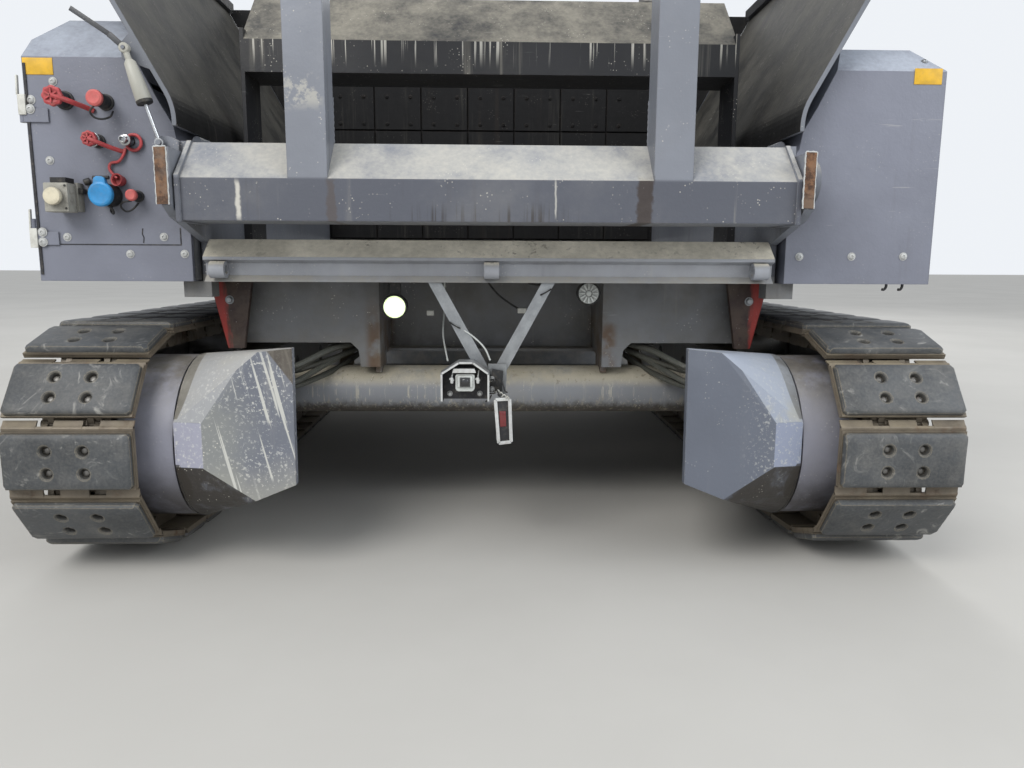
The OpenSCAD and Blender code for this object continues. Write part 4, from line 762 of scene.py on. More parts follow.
def pad_mesh(rnd):
    """One rubber pad: x across, t along, h outward; worn round corners and four deep bolt holes."""
    bm = bmesh.new()
    n, hw, t0, t1, h0, h1 = 14, 166.0, -67.0, 81.0, 44.0, 64.3

    def outline(inset, cut, wob):
        pts = []
        for x, t, a, b in ((-1, t0, 0, 1), (1, t0, 1, 0), (1, t1, 0, 1), (-1, t1, 1, 0)):
            s = 1 if t == t0 else -1
            X, T = x * (hw - inset), t + s * inset
            c1 = cut * rnd.uniform(0.7, 1.4)
            c2 = cut * rnd.uniform(0.7, 1.4)
            u, v = (X, T + s * c1), (X - x * c2, T)
            pts += [u, v] if a == 0 else [v, u]
        return [(x + rnd.uniform(-wob, wob), t + rnd.uniform(-wob, wob)) for x, t in pts]

    def loop(pts, h):
        return [bm.verts.new((x, t, h)) for x, t in pts]

    def walls(rows):
        for a, b in zip(rows, rows[1:]):
            for k, j in zip(range(len(a)), [*range(1, len(a)), 0]):
                bm.faces.new((a[k], a[j], b[j], b[k]))
    rows = [loop(outline(i, c, w), h) for i, c, w, h in
            ((0, 7, 0, h0), (0, 7, 0, h1 - 9), (4, 10, 1.2, h1 - 3), (10, 14, 1.5, h1))]
    walls(rows)
    bm.faces.new(rows[0][::-1])
    rims = []
    for hx, ht in HOLES:
        rings = [loop([(hx + r * cos(a), ht + r * sin(a)) for a in turns(n)], h)
                 for r, h in ((18, h1), (14.5, h1 - 2.5), (12.5, h1 - 7), (12, h1 - 17))]
        walls(rings)
        bm.faces.new(rings[-1])
        rims.append(rings[0])
    edges = []
    for ring in [rows[-1]] + rims:
        for k, p in enumerate(ring):
            q = ring[(k + 1) % len(ring)]
            edges.append(bm.edges.get((p, q)) or bm.edges.new((p, q)))
    bmesh.ops.triangle_fill(bm, use_beauty=True, edges=edges, normal=(0, 0, 1))
    bmesh.ops.recalc_face_normals(bm, faces=bm.faces)
    bm.verts.index_update()
    out = [tuple(p.co) for p in bm.verts], [tuple(q.index for q in f.verts) for f in bm.faces]
    bm.free()
    return out


def tracks():
    """Both loops; each link takes one of eight worn pads, drawn at random."""
    rnd = random.Random(5)
    pads = [pad_mesh(rnd) for _ in range(8)]
    pins = track_pins()
    shoe = [(-80, 28.4), (80, 28.4), (82, 31), (82, 38.6), (-78, 38.6), (-84, 34)]
    lip = [(-79, 28.6), (-86, 26.2), (-97, 19.5), (-98, 24), (-87, 31), (-82, 37), (-78, 38.5)]
    plate = [(-71, 38.4), (84.5, 38.4), (84.5, 40.5), (82.5, 41.2), (84.5, 42), (84.5, 44.5), (-71, 44.5),
             (-71, 42), (-69, 41.2), (-71, 40.5)]

    def slab(mesh, at, x0, x1, prof):
        """A profile (t, h) extruded across the track."""
        m = len(prof)
        side = [((k + 1) % m, k, m + k, m + (k + 1) % m) for k in range(m)]
        mesh.add([at(x, t, h) for x in (x0, x1) for t, h in prof],
                 [tuple(range(m)), tuple(range(2 * m - 1, m - 1, -1))] + side)
    for side, s in (("left", -1), ("right", 1)):
        rub, iron, back, chain, nuts = Mesh(), Mesh(), Mesh(), Mesh(), Mesh()
        c = s * TX
        for i, (y, z) in enumerate(pins):
            a, b = Vector((y, z)), Vector(pins[(i + 1) % len(pins)])
            d = (b - a).normalized()
            n = Vector((d[1], -d[0]))
            mid = (a + b) / 2

            def at(x, t, h):
                return (c + x, mid[0] + t * d[0] + h * n[0], mid[1] + t * d[1] + h * n[1])
            v, f = pads[rnd.randrange(8)]
            rub.add([at(x, t, h) for x, t, h in v], f)
            slab(iron, at, -170, 170, shoe)
            for x0, x1 in ((-170, -82), (-38, 38), (82, 170)):
                slab(iron, at, x0, x1, lip)
            slab(back, at, -169, 169, plate)
            for q, (x0, x1) in enumerate(((-77, -60), (-60, -43), (43, 60), (60, 77))):
                e0, e1 = (-88, 80) if q in (0, 3) else (-80, 88)
                link = [(e0, -16), (e0 + 14, -31), (-30, -33), (0, -30), (30, -33), (e1 - 14, -31), (e1, -16),
                        (e1, 14), (e1 - 12, 27.6), (e0 + 12, 27.6), (e0, 14)]
                slab(chain, at, x0 + 0.4, x1 - 0.4, link)
            chain.cyl((c - 82, y, z), (c + 82, y, z), 12, 10)
            chain.cyl((c - 43, y, z), (c + 43, y, z), 19.5, 14)
            out = Vector((0, n[0], n[1]))
            for hx, ht in HOLES:
                nuts.lathe(at(hx, ht, 46), out, [(0, 9), (5, 9), (6.5, 6.5)], 6)
        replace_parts(make(f"track_pads_{side}", rub, "rubber", angle=30), f"track_{side}")
        for name, mesh in (("shoes", iron), ("backing", back), ("chain", chain)):
            make(f"track_{name}_{side}", mesh, "chain", angle=25, fix=True)
        make(f"track_pad_nuts_{side}", nuts, "steel")


tracks()


# The front, as photographed: hoses, caps, sockets, bolts, labels, camera and ties
FRONT, UP = (0, -1, 0), (0, 0, 1)
CAB = 270            # station of the cabinets' front


def points_at(y, *pairs):
    """Points at one station, given as x and z."""
    return [(x, y, z) for x, z in pairs]


def swapped(*points):
    """Points given as x, z and then y, the way they are read off the front."""
    return [(x, y, z) for x, z, y in points]


def studs(name, points, direction, kind="dome", size=9, mat="zinc", body="machine", both=False):
    """A group of screws as one piece, on one side of the machine or on both."""
    m = Mesh()
    for p in points:
        getattr(m, kind)(p, direction, size)
    return make(name, m.mirror() if both else m, mat, body)


def drive_hoses():
    """Each side's hydraulic hoses leave the guard in a bundle and fan out to the web."""
    m = Mesh()
    upper = ((631, 432, 540), (603, 441, 540), (429, 640, 596), (379, 640, 596))
    lower = ((625, 412, 500), (596, 421, 500), (429, 700, 584), (379, 700, 584))
    for k, (line, dy, dz, bow) in enumerate(((upper, -8, 12, 12), (upper, 10, -4, -4), (lower, -9, 9, 6),
                                             (lower, 8, -8, -12), (upper, 2, 3, 26))):
        fan = (k - 2) * 9
        pts = [(x, y + dy, z + dz) for x, y, z in line]
        mid = (Vector(pts[1]) + Vector(pts[2])) / 2 + Vector((0, fan, bow))
        path = smooth_path(pts[:2] + [mid] + [(x, y + fan, z) for x, y, z in pts[2:]], 5)
        m.tube(path, 9.5)
        for a, b in ((path[0], path[2]), (path[-1], path[-3])):
            m.cyl(a, b, 12.5, 12, 2)
    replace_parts(make("drive_hose_bundles", m.mirror(), "hose"), "drive_hoses")


def couplings():
    """Quick couplings on the left cabinet with their caps and moulded straps."""
    body, red, pale, iron = Mesh(), Mesh(), Mesh(), Mesh()
    table = ((-1166, 1303, 25, 70), (-1056, 1299, 22, 70), (-1084, 1196, 19, 60), (-998, 1196, 13, 50),
             (-986, 1049, 16, 50))
    for k, (x, z, r, l) in enumerate(table):
        root, lid = (x, CAB, z), (x, CAB - l + 14, z)
        body.lathe(root, FRONT, [(-2, r), (6, r), (8, r * 0.8)])
        if k == 3:
            iron.lathe(root, FRONT, [(8, r), (22, r), (24, r * 1.15), (34, r * 1.15), (36, r * 0.8),
                                     (50, r * 0.8), (52, r * 0.5), (46, r * 0.42)])
            red.torus((x + 12, 262, z - 3), FRONT, 21, 4.5, 26)
            continue
        body.lathe(root, FRONT, [(4, r * 0.82), (l - 18, r * 0.86), (l - 16, r * 0.8), (l - 8, r * 0.8)])
        if k in (0, 2):
            red.lathe(lid, FRONT, [(0, r), (4, r * 1.05), (12, r * 1.03), (15, r * 0.8), (13, r * 0.5)],
                      48, wave=0.055, lobes=8)
            for deg in (30, 90, 150):
                u = radians(deg)
                arm = r * 0.72 * Vector((cos(u), 0, sin(u)))
                mid = Vector((x, CAB - l - 1.5, z))
                red.beam(mid - arm, mid + arm, 4, 4, FRONT)
        else:
            pale.lathe(lid, FRONT, [(0, r * 0.9), (4, r), (12, r * 0.96), (15, r * 0.72), (14, r * 0.3)], 36)
    iron.torus((-1084, 236, 1196), FRONT, 17, 3, 24)
    red.strap(swapped((-1166, 1303, 199), (-1140, 1296, 208), (-1118, 1288, 240), (-1098, 1280, 262),
                      (-1090, 1276, 268)), 7, 10)
    red.strap(swapped((-1084, 1196, 209), (-1066, 1188, 214), (-1044, 1178, 240), (-1021, 1170, 262),
                      (-1012, 1172, 268)), 6, 10)
    red.strap(swapped((-1010, 1178, 266), (-1017, 1158, 262), (-1030, 1142, 261), (-1052, 1137, 262),
                      (-1057, 1122, 262), (-1046, 1106, 260), (-1034, 1096, 256)), 4, 10)
    red.lathe((-1030, CAB, 1090), (-0.25, -1, 0.1), [(-4, 13), (14, 17), (22, 17.5), (20, 14), (8, 12)], 28)
    body.strap(swapped((-1056, 1281, 206), (-1073, 1266, 212), (-1068, 1252, 220), (-1050, 1248, 226),
                       (-1032, 1256, 236), (-1030, 1272, 250)), 2.6)
    body.strap(swapped((-990, 1034, 232), (-1014, 1030, 234), (-1021, 1018, 236), (-1010, 1006, 240),
                       (-994, 1012, 246), (-980, 1030, 254)), 2.6)
    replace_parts(make("coupling_bodies", body, "black"), "couplings")
    make("coupling_caps", red, "cap")
    make("coupling_lids", pale, "salmon")
    make("coupling_collars", iron, "bright")


def sockets():
    """Emergency stop box and the blue mains socket."""
    m, knob, black, blue = Mesh(), Mesh(), Mesh(), Mesh()
    m.box(-1204, -1140, 192, 240, 1001, 1078)
    base = Mesh().box(-1200, -1136, 238, 270.5, 1005, 1082)
    knob.lathe((-1172, 193, 1041), FRONT, [(0, 17), (7, 17), (9, 22), (17, 24), (23, 22), (24.5, 14),
                                           (23.5, 5)], 32)
    black.box(-1186, -1145, 196, 240, 1078, 1092)
    black.cyl((-1127, 258, 1084), (-1112, 262, 1090), 9, 14, 1)
    black.cyl((-1131, 266, 1060), (-1131, 240, 1060), 8, 12, 1)
    for z in (1010, 1070):
        black.cyl((-1146, 192.5, z), (-1146, 190.5, z), 3, 10)
    blue.lathe((-1061, 218, 1050), FRONT, [(0, 33), (8, 34), (13, 32), (15, 26), (14, 22)], 40)
    blue.prism([(-1079, 1070), (-1043, 1070), (-1047, 1093), (-1056, 1097), (-1068, 1097), (-1076, 1092)], 1,
               205, 222)
    black.cyl((-1060, 270.5, 1050), (-1060, 217, 1050), 31, 32, 2)
    black.cyl((-1082, 216, 1094), (-1038, 216, 1094), 5, 12, 1)
    strap = swapped((-1052, 1024, 226), (-1040, 1008, 228), (-1044, 1000, 238), (-1056, 1008, 252),
                    (-1058, 1024, 262))
    black.strap(strap, 3.4, 8, 5)
    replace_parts(make("stop_box", m, "beige", bevel=3), "socket_boxes")
    make("stop_box_base", base, "beige", bevel=2)
    make("stop_knob", knob, "cream")
    make("socket_fittings", black, "black")
    make("mains_socket", blue, "blue", bevel=1.5)


def cabinet_front():
    """Labels left blank, hinge plates, bolts, and the seams of the bottom panel."""
    label = Mesh().box(-1273, -1192, 268.6, 270.4, 1370, 1414).box(1183, 1262, 268.6, 270.4, 1370, 1413)
    make("blank_labels", label, "yellow", bevel=0.6)
    pale, seal = Mesh(), Mesh()
    for z0, z1 in ((1264, 1318), (906, 960)):
        pale.box(-1291, -1270, 261, 271, z0, z1)
    pale.prism([(-1294, 1316), (-1289, 1316), (-1287, 1368), (-1292, 1368)], 1, 262, 271)
    pale.prism([(-1291, 958), (-1286, 958), (-1284, 1012), (-1289, 1012)], 1, 262, 271)
    make("hinge_plates", pale, "white", bevel=1.5)
    seal.box(-1272, -1265, 267, 271, 832, 1400)
    seal.box(-1228, -877, 268.9, 270.3, 914.6, 917.4)
    seal.box(-878, -875, 268.9, 270.3, 915, 963)
    seal.tube(points_at(CAB, (-981, 961), (-983, 945), (-979, 936), (-981, 921)), 1.6, 6)
    make("cabinet_seams", seal, "seal")
    screws = points_at(CAB, (-1195, 1353), (-1221.5, 1144), (-1191.5, 936), (-923, 938), (-1020, 890),
                       (-868, 891), (889.5, 892), (1042, 893), (1193.5, 894))
    studs("cabinet_screws", screws, FRONT, mat="bead")
    screws = points_at(CAB, (-1259, 1304)) + points_at(264.6, (-1260, 1279), (-1256, 949), (-1257, 922))
    studs("hinge_screws", screws, FRONT, size=10, mat="bead")
    m = Mesh()
    for x in (1166, 1214):
        m.strap([(x, 300, 818), (x, 300, 806), (x - 5, 300, 798), (x - 12, 300, 798)], 4, 8, 4)
    m.lathe((-850, 300, 818), UP, [(0, 14), (4, 15), (130, 15), (134, 12)], 20)
    make("cabinet_hooks", m, "dark")
    studs("roof_knob", [(1227, 305, 1440)], (0, -0.7, 0.7), size=7)


def gate_trim():
    """Rusty wear pads with weld beads on the two noses, and welds along the gate's posts."""
    pad, bead = Mesh(), Mesh()
    for s in (-1, 1):
        lo, hi = (818, 848) if s < 0 else (806, 834)
        pad.prism([(s * lo, 1014), (s * hi, 1013), (s * hi, 1154), (s * lo, 1155)], 1, 57, 60.5)
        for x in (lo, hi):
            path = [(s * (x + 0.8 * sin(k * 1.7)), 59.5, 1013 + k * 7.1) for k in range(21)]
            bead.tube(path, 2.6, 6)
        bead.tube([(s * (lo + k * (hi - lo) / 6), 59.5, 1155 + sin(k * 2)) for k in range(7)], 2.6, 6)
    make("nose_pads", pad, "rust", bevel=1.2)
    make("nose_welds", bead, "bead")
    m = Mesh()
    for s in (-1, 1):
        for x in (s * 522, s * 420):
            m.tube([(x + 0.7 * sin(k * 1.9), 176, 1184 + k * 116 / 24) for k in range(25)], 2.2, 6)
    make("post_welds", m, "gate", "gate")


def strut_trim():
    """Thin strut of the left wing: tapered sleeve with a dark end, eye, and the lever above it."""
    foot, eye = Vector((-879, 176, 1180)), Vector((-954, 176, 1417))
    d = (eye - foot).normalized()
    l = (eye - foot).length
    m, end, lever = Mesh(), Mesh(), Mesh()
    prof = [(0, 20), (2, 21), (60, 18.5), (l * 0.57 - 38, 15), (l * 0.57 - 30, 9)]
    m.lathe(foot + d * l * 0.43, d, prof, 28)
    m.cyl(foot + d * (l - 34), foot + d * (l - 6), 8, 16, 1)
    m.cyl(eye + Vector((0, -9, 0)), eye + Vector((0, 9, 0)), 13, 24, 2)
    end.lathe(foot + d * l * 0.415, d, [(0, 12), (1, 20.5), (9, 21.5), (10, 20)], 28)
    lever.beam((-1090, 186, 1516), (-996, 186, 1454), 8, 13)
    lever.beam((-996, 186, 1454), (-958, 186, 1420), 8, 15, (1, 0, 0))
    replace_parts(make("strut_tapered_sleeve", m, "sleeve", "strut_top"), "strut_sleeve")
    make("strut_end", end, "black", "strut_top")
    make("strut_lever", lever, "dark", "wing_l", bevel=1)


def camera_set():
    """Rear-view camera under its bent guard, the reflector on its strap, and the cable ties."""
    hood = ((-139, 480), (-139, 557), (-92, 587), (-54, 587), (-12, 557), (-12, 480))
    hood_shade, rim, body, white, wire = Mesh(), Mesh(), Mesh(), Mesh(), Mesh()
    # A dark sheet inside the guard: painted shade under the hood
    for (xa, za), (xb, zb) in zip(hood, hood[1:]):
        side = Vector((zb - za, 0, xa - xb)).normalized()
        a, b = Vector((xa, 0, za)), Vector((xb, 0, zb))
        hood_shade.add([(p[0], y, p[2]) for p in (a + side * 0.6, b + side * 0.6) for y in (203, 252)],
                  [(0, 1, 3, 2)])
        rim.beam(a - side * 3 + Vector((0, 199.5, 0)), b - side * 3 + Vector((0, 199.5, 0)), 5.4, 3.5, FRONT)
    hood_shade.prism([(-138, 479), (-13, 479), (-13, 556), (-54, 586), (-92, 586), (-138, 556)], 1, 248, 251)
    body.prism([(-103, 514), (-96, 507), (-55, 507), (-48, 514), (-48, 552), (-52, 557), (-99, 557),
                (-103, 552)], 1, 208, 246)
    body.prism([(-97, 519), (-54, 519), (-54, 552), (-97, 552)], 1, 204, 209)
    lens = Mesh().box(-90, -61, 202, 205, 521, 548)
    lens.lathe((-75.5, 203, 534.5), FRONT, [(0, 11), (3, 10.5), (4.5, 7)])
    white.prism([(-112, 561), (-108, 573), (-48, 573), (-44, 561)], 1, 202, 250)
    for x in (-113, -39):
        white.cyl((x, 206, 530), (x, 206, 548), 4.5, 10, 2)
        white.cyl((x - 7, 208, 544), (x + 6, 208, 538), 3.5, 8, 1)
        white.cyl((x, 212, 548), (x + 3, 222, 566), 2.4, 8)
    make("camera_guard_shade", hood_shade, "seal")
    make("camera_guard_rim", rim, "bead")
    make("camera_housing", body, "frost", bevel=2)
    make("camera_lens", lens, "glass", bevel=1)
    make("camera_visor", white, "bead", bevel=1.5)
    rnd = random.Random(11)
    for k in range(9):
        p = Vector((6 + rnd.uniform(-10, 26), 208 + rnd.uniform(0, 14), 520 + rnd.uniform(-30, 34)))
        q = p + Vector((rnd.uniform(-20, 34), rnd.uniform(-4, 6), rnd.uniform(-30, 24)))
        mid = (p + q) / 2 + Vector((rnd.uniform(-14, 14), -6, rnd.uniform(-10, 10)))
        (wire if k % 3 else white).strap([p, mid, q], 2.4, 7, 5)
    wire.prism([(-8, 500), (30, 500), (34, 560), (2, 566)], 1, 240, 257)
    make("cable_ties", wire, "black", bevel=0.8)
    ties = Mesh()
    for k in range(4):
        p = Vector((10 + 9 * k, 224 - 3 * k, 500 - 6 * k))
        ties.strap([p, p + Vector((9, -5, 9)), p + Vector((16, 0, -5))], 2.0, 7, 5)
    make("pale_ties", ties, "white")
    frame_, red, dark = Mesh(), Mesh(), Mesh()
    edge = [(11, 482), (52, 484), (57, 358), (21, 354)]
    for (xa, za), (xb, zb) in zip(edge, edge[1:] + edge[:1]):
        frame_.beam((xa, 214, za), (xb, 214, zb), 10, 5, FRONT)
    dark.prism([(13, 481), (51, 482), (56, 359), (22, 356)], 1, 216, 232)
    red.prism([(22, 448), (41, 449), (43, 404), (25, 402)], 1, 213.5, 217)
    make("reflector_frame", frame_, "bead", bevel=1.5)
    make("reflector_back", dark, "seal", bevel=1)
    make("reflector_lens", red, "reflex", bevel=1)
    bolts = points_at(248, (-121, 494.5), (-34, 494.5)) + points_at(240, (1, 539), (1, 509))
    studs("bracket_bolts", bolts, FRONT, "bolt", 6, "bead")


def lamps():
    """The left lamp is lit; the right one shows its spokes."""
    left, right = (-289, 346, 739), (290, 346, 781)
    make("lamp_lens_left", Mesh().lathe(left, FRONT, [(0, 30), (2, 30), (4, 26)], 36), "lens")
    make("lamp_glow_left", Mesh().torus((-289, 344, 739), FRONT, 29, 4, 36, 8), "halo")
    m, rim = Mesh(), Mesh()
    m.lathe(right, FRONT, [(0, 30), (3, 30)], 36)
    hub = Vector((290, 341, 781))
    for u in turns(12):
        out = Vector((cos(u), 0, sin(u)))
        m.beam(hub + 11 * out, hub + 29 * out, 5, 6, FRONT)
    m.lathe(right, FRONT, [(0, 9), (6, 9), (8, 6)], 20)
    make("lamp_lens_right", m, "frost")
    for p, r in ((left, 34), (right, 32)):
        rim.torus(p, FRONT, r, 3.5, 36)
    make("lamp_rims", rim, "black")


def wires():
    """Thin wires clipped along the belly and the bars of the bracket."""
    m, pale, plug = Mesh(), Mesh(), Mesh()
    for pts in (((-150, 516, 812), (-152, 520, 720), (-150, 420, 650), (-128, 268, 588)),
                ((-106, 268, 692), (-60, 262, 664), (-22, 262, 628), (-4, 262, 590))):
        pale.strap(pts, 2.6, 8, 8)
    for pts in (((-10, 536, 806), (20, 530, 770), (60, 536, 740), (96, 536, 718)),
                ((118, 536, 806), (160, 530, 800), (196, 536, 806))):
        m.strap(pts, 3.2, 8, 8)
    for x, z in ((-106, 692), (156, 788)):
        m.torus((x, 265, z), (0.5 if x < 0 else -0.5, 0, 0.86), 17, 2.2, 20, 6)
    plug.box(84, 112, 516, 538, 710, 726)
    plug.box(-208, -186, 516, 538, 702, 718)
    make("belly_wires", m, "black")
    make("camera_wires", pale, "frost")
    make("wire_plugs", plug, "white", bevel=1.5)


def guard_trim():
    """Rim screws, a black line with its notches as painted shade of the gap at the rim, the tracks' covers
    and the studs of the brackets.
    """
    m, gap_shade = Mesh(), Mesh()

    def rim(x, r, deg):
        """A point round the drum's axis, counted up from the front."""
        u = radians(deg)
        return (x, DRUM[0] - r * cos(u), DRUM[1] + r * sin(u))
    for deg in (48, -22):
        u = radians(deg)
        m.bolt(rim(830, 233, deg), (-0.15, -cos(u), sin(u)), 7, 5)
    make("guard_screws", m.mirror(), "zinc")
    # Painted shade: a black line in the gap at the rim, with two notches
    gap_shade.tube([rim(848, 241.4, -100 + 200 * k / 33) for k in range(34)], 2.2, 6)
    for deg in (21, -9):
        gap_shade.cyl(rim(846, 238, deg), rim(846, 244, deg), 4, 10)
    make("guard_gap_shade", gap_shade.mirror(), "black")
    cover = Mesh().prism([(652, 472), (640, 560), (690, 592), (2880, 592), (2950, 560), (2956, 472)], 0,
                         1202, 1210)
    make("track_frame_covers", cover.mirror(), "under", bevel=1.5)
    studs("bracket_studs", [(813, 459, 753)], FRONT, "bolt", 10, both=True)


drive_hoses()
couplings()
sockets()
cabinet_front()
gate_trim()
strut_trim()
camera_set()
lamps()
wires()
guard_trim()


# Upholstery: crowned by a short cloth run, then its sewn channels and piping
PRESSURE, SWELL = 4.0, 0.012       # of the cloth run, and the most it may lift the cover
GROOVE, GROOVE_WIDTH = 0.007, 0.008


def swollen(name, outline, half, channel):
    """A closed pad from its side outline (y, z), blown up a little as foam fills its cover."""
    m = Mesh().prism(outline, 0, -half, half)
    o = make(name, m, "vinyl", bevel=16, seg=3)
    mod = o.modifiers.new("remesh", "REMESH")
    mod.mode = "VOXEL"
    mod.voxel_size = 0.010
    bake(o)
    rest = [v.co.copy() for v in o.data.vertices]
    cloth = o.modifiers.new("cloth", "CLOTH")
    cloth.settings.use_pressure = True
    cloth.settings.uniform_pressure_force = PRESSURE
    cloth.settings.effector_weights.gravity = 0
    cloth.settings.quality = 4
    scene = bpy.context.scene
    for k in range(1, 21):
        scene.frame_set(k)
        bpy.context.view_layer.update()
    bake(o)
    scene.frame_set(1)
    for v, r in zip(o.data.vertices, rest):
        off = v.co - r
        if off.length > SWELL:
            v.co = r + off * SWELL / off.length
    normals = [n.vector.copy() for n in o.data.vertex_normals]
    for v, n in zip(o.data.vertices, normals):
        v.co -= n * GROOVE * exp(-((abs(v.co.x) - channel) / GROOVE_WIDTH) ** 2)
    o.modifiers.new("finer", "SUBSURF").levels = 1
    bake(o)
    return o


def bake(o):
    """Writes what the modifiers make of the mesh into the mesh."""
    graph = bpy.context.evaluated_depsgraph_get()
    me = bpy.data.meshes.new_from_object(o.evaluated_get(graph))
    o.modifiers.clear()
    o.data = me
    me.polygons.foreach_set("use_smooth", [True] * len(me.polygons))


def seats():
    """Two padded seats on sprung boxes, with armrests and piping."""
    x0, y0, z0, half = 800, 3430, 1680, 240
    cushion = [(30, 8), (12, 50), (20, 86), (48, 100), (150, 94), (428, 84), (430, 8)]
    back = [(394, 100), (404, 165), (400, 330), (436, 550), (462, 612), (496, 606), (504, 565), (480, 330),
            (462, 102)]
    first = None
    for name, outline, w, channel in (("seat_cushion", cushion, half - 12, 0.105),
                                      ("seat_back", back, half - 22, 0.10)):
        o = swollen(f"{name}_left", [(y0 + y, z0 + z) for y, z in outline], w, channel)
        for piece, s in ((o, -1), (place(f"{name}_right", o.data.copy()), 1)):
            for v in piece.data.vertices:
                v.co.x += s * x0 / 1000
            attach(piece, "machine")
        first = first or o
    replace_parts(first, "seats")
    frames, arms, piping = Mesh(), Mesh(), Mesh()
    for s in (-1, 1):
        c = s * x0
        frames.prism([(y0 + 125, 1350), (y0 + 315, 1350), (y0 + 300, 1652), (y0 + 140, 1652)], 0,
                     c - 90, c + 90)
        frames.box(c - 170, c + 170, y0 + 90, y0 + 400, 1648, 1688)
        for k in range(6):
            frames.box(c - 96, c + 96, y0 + 128, y0 + 312, 1390 + k * 42, 1400 + k * 42)
        frames.prism([(y0 + 476, 1700), (y0 + 494, 1700), (y0 + 518, 2250), (y0 + 500, 2250)], 0,
                     c - 150, c + 150)
        frames.cyl((c - 215, y0 + 430, 1730), (c + 215, y0 + 430, 1730), 14, 16, 2)
        for a in (-1, 1):
            e = c + a * (half + 12)
            frames.prism([(y0 + 384, 1690), (y0 + 420, 1690), (y0 + 424, 1914), (y0 + 392, 1914)], 0,
                         e - 10, e + 10)
            frames.box(e, c + a * 200, y0 + 384, y0 + 420, 1668, 1688)
            arms.prism([(y0 + 112, 1910), (y0 + 122, 1938), (y0 + 428, 1946), (y0 + 438, 1918)], 0,
                       c + a * (half + 28) - 26, c + a * (half + 28) + 26)
            for x, line in ((half - 14, [(30, 92), (60, 104), (150, 99), (415, 89)]),
                            (half - 24, [(396, 112), (404, 170), (400, 330), (436, 545), (460, 604)])):
                piping.strap([(c + a * x, y0 + y, z0 + z) for y, z in line], 4.5)
    make("seat_frames", frames, "dark", bevel=4)
    make("seat_piping", piping, "vinyl")
    make("seat_armrests", arms, "vinyl", bevel=12, seg=5)


# Operator's place, hood and rear: fittings of the type
DOOR_X = 1275                         # outer face of the hood's doors
POSTS = [(x, y) for x in (-1155, 1155) for y in (3120, 4140)]
PIPE = (900, 2760)                    # axis of the exhaust
WALKWAY_Z = 420                       # top of the screed's walkway


def console_fittings():
    """Screen, blank gauges, switches and levers on the sloped panel."""
    up, along = Vector((0, 0.631, 0.776)), Vector((0, -0.776, 0.631))
    mid = Vector((0, 3256, 2310))

    def on(x, s, h=0.0):
        return mid + Vector((x, 0, 0)) + along * s + up * h
    dial, face, black = Mesh(), Mesh(), Mesh()
    for x in (-270, -200, -130):
        dial.lathe(on(x, 40, -2), up, [(0, 30), (6, 30), (8, 27), (5, 25)], 32)
        face.lathe(on(x, 40, 0), up, [(0, 24), (4.2, 24)], 32)
        face.beam(on(x, 40, 5), on(x + 12, 54, 5), 2, 1.5, up)
    black.beam(on(-60, 20, 6), on(80, 20, 6), 120, 22, up)
    face.beam(on(-50, 20, 17.5), on(70, 20, 17.5), 96, 2, up)
    switch = [(0, 9), (5, 9), (6, 4), (20, 3.2), (24, 4.5), (27, 3)]
    for k in range(9):
        black.lathe(on(-285 + k * 42, -48, -2), up, switch, 14)
    for x in (-230, 110):
        path = smooth_path([on(x, -78, -4), on(x, -80, 40), on(x + 4, -84, 92)], 5)
        black.tube(path, 6)
        black.lathe(on(x, -78, -3), up, [(0, 28), (6, 27), (14, 20), (22, 13), (30, 8)])
        black.lathe(path[-2], path[-1] - path[-2], [(0, 10), (8, 17), (34, 19), (48, 14), (54, 6)], 20)
    make("console_dials", dial, "bright")
    make("console_faces", face, "glass")
    make("console_switches", black, "black", bevel=0.8)


def hood_trim():
    """Latches of the doors, lifting eyes, rows of screws, and the rings round the exhaust."""
    for side, s in (("left", -1), ("right", 1)):
        m, dark = Mesh(), Mesh()
        x = s * DOOR_X
        for z in (1030, 1640):
            m.prism([(2150, z - 40), (2210, z - 40), (2216, z - 30), (2216, z + 30), (2210, z + 40),
                     (2150, z + 40)], 0, x, x + s * 4)
            dark.box(x, x + s * 9, 2166, 2198, z - 26, z + 14)
            dark.cyl((x, 2182, z + 26), (x + s * 6, 2182, z + 26), 8, 16, 1)
        make(f"hood_latch_plates_{side}", m, "zinc", f"hood_door_{side[0]}", bevel=1)
        make(f"hood_latches_{side}", dark, "black", f"hood_door_{side[0]}", bevel=2)
    eyes = Mesh()
    for x, y in ((-900, 2120), (-900, 2950), (900, 2120), (900, 2950)):
        eyes.cyl((x, y, 1896), (x, y, 1906), 26, 24, 2)
        eyes.torus((x, y, 1922), (0, 1, 0), 20, 6, 24)
    make("lifting_eyes", eyes, "zinc")
    points = [(x, 2012, z) for x in (-1240, 1240) for z in (1100, 1300, 1500, 1700)]
    studs("hood_front_screws", points, FRONT, size=8)
    m = Mesh()
    x, y = PIPE
    for k in range(7):
        m.torus((x, y, 2090 + k * 44), UP, 50, 4, 28, 6)
    m.cyl((x, y, 1898), (x, y, 1908), 78, 32, 2)
    make("exhaust_guard", m, "steel")


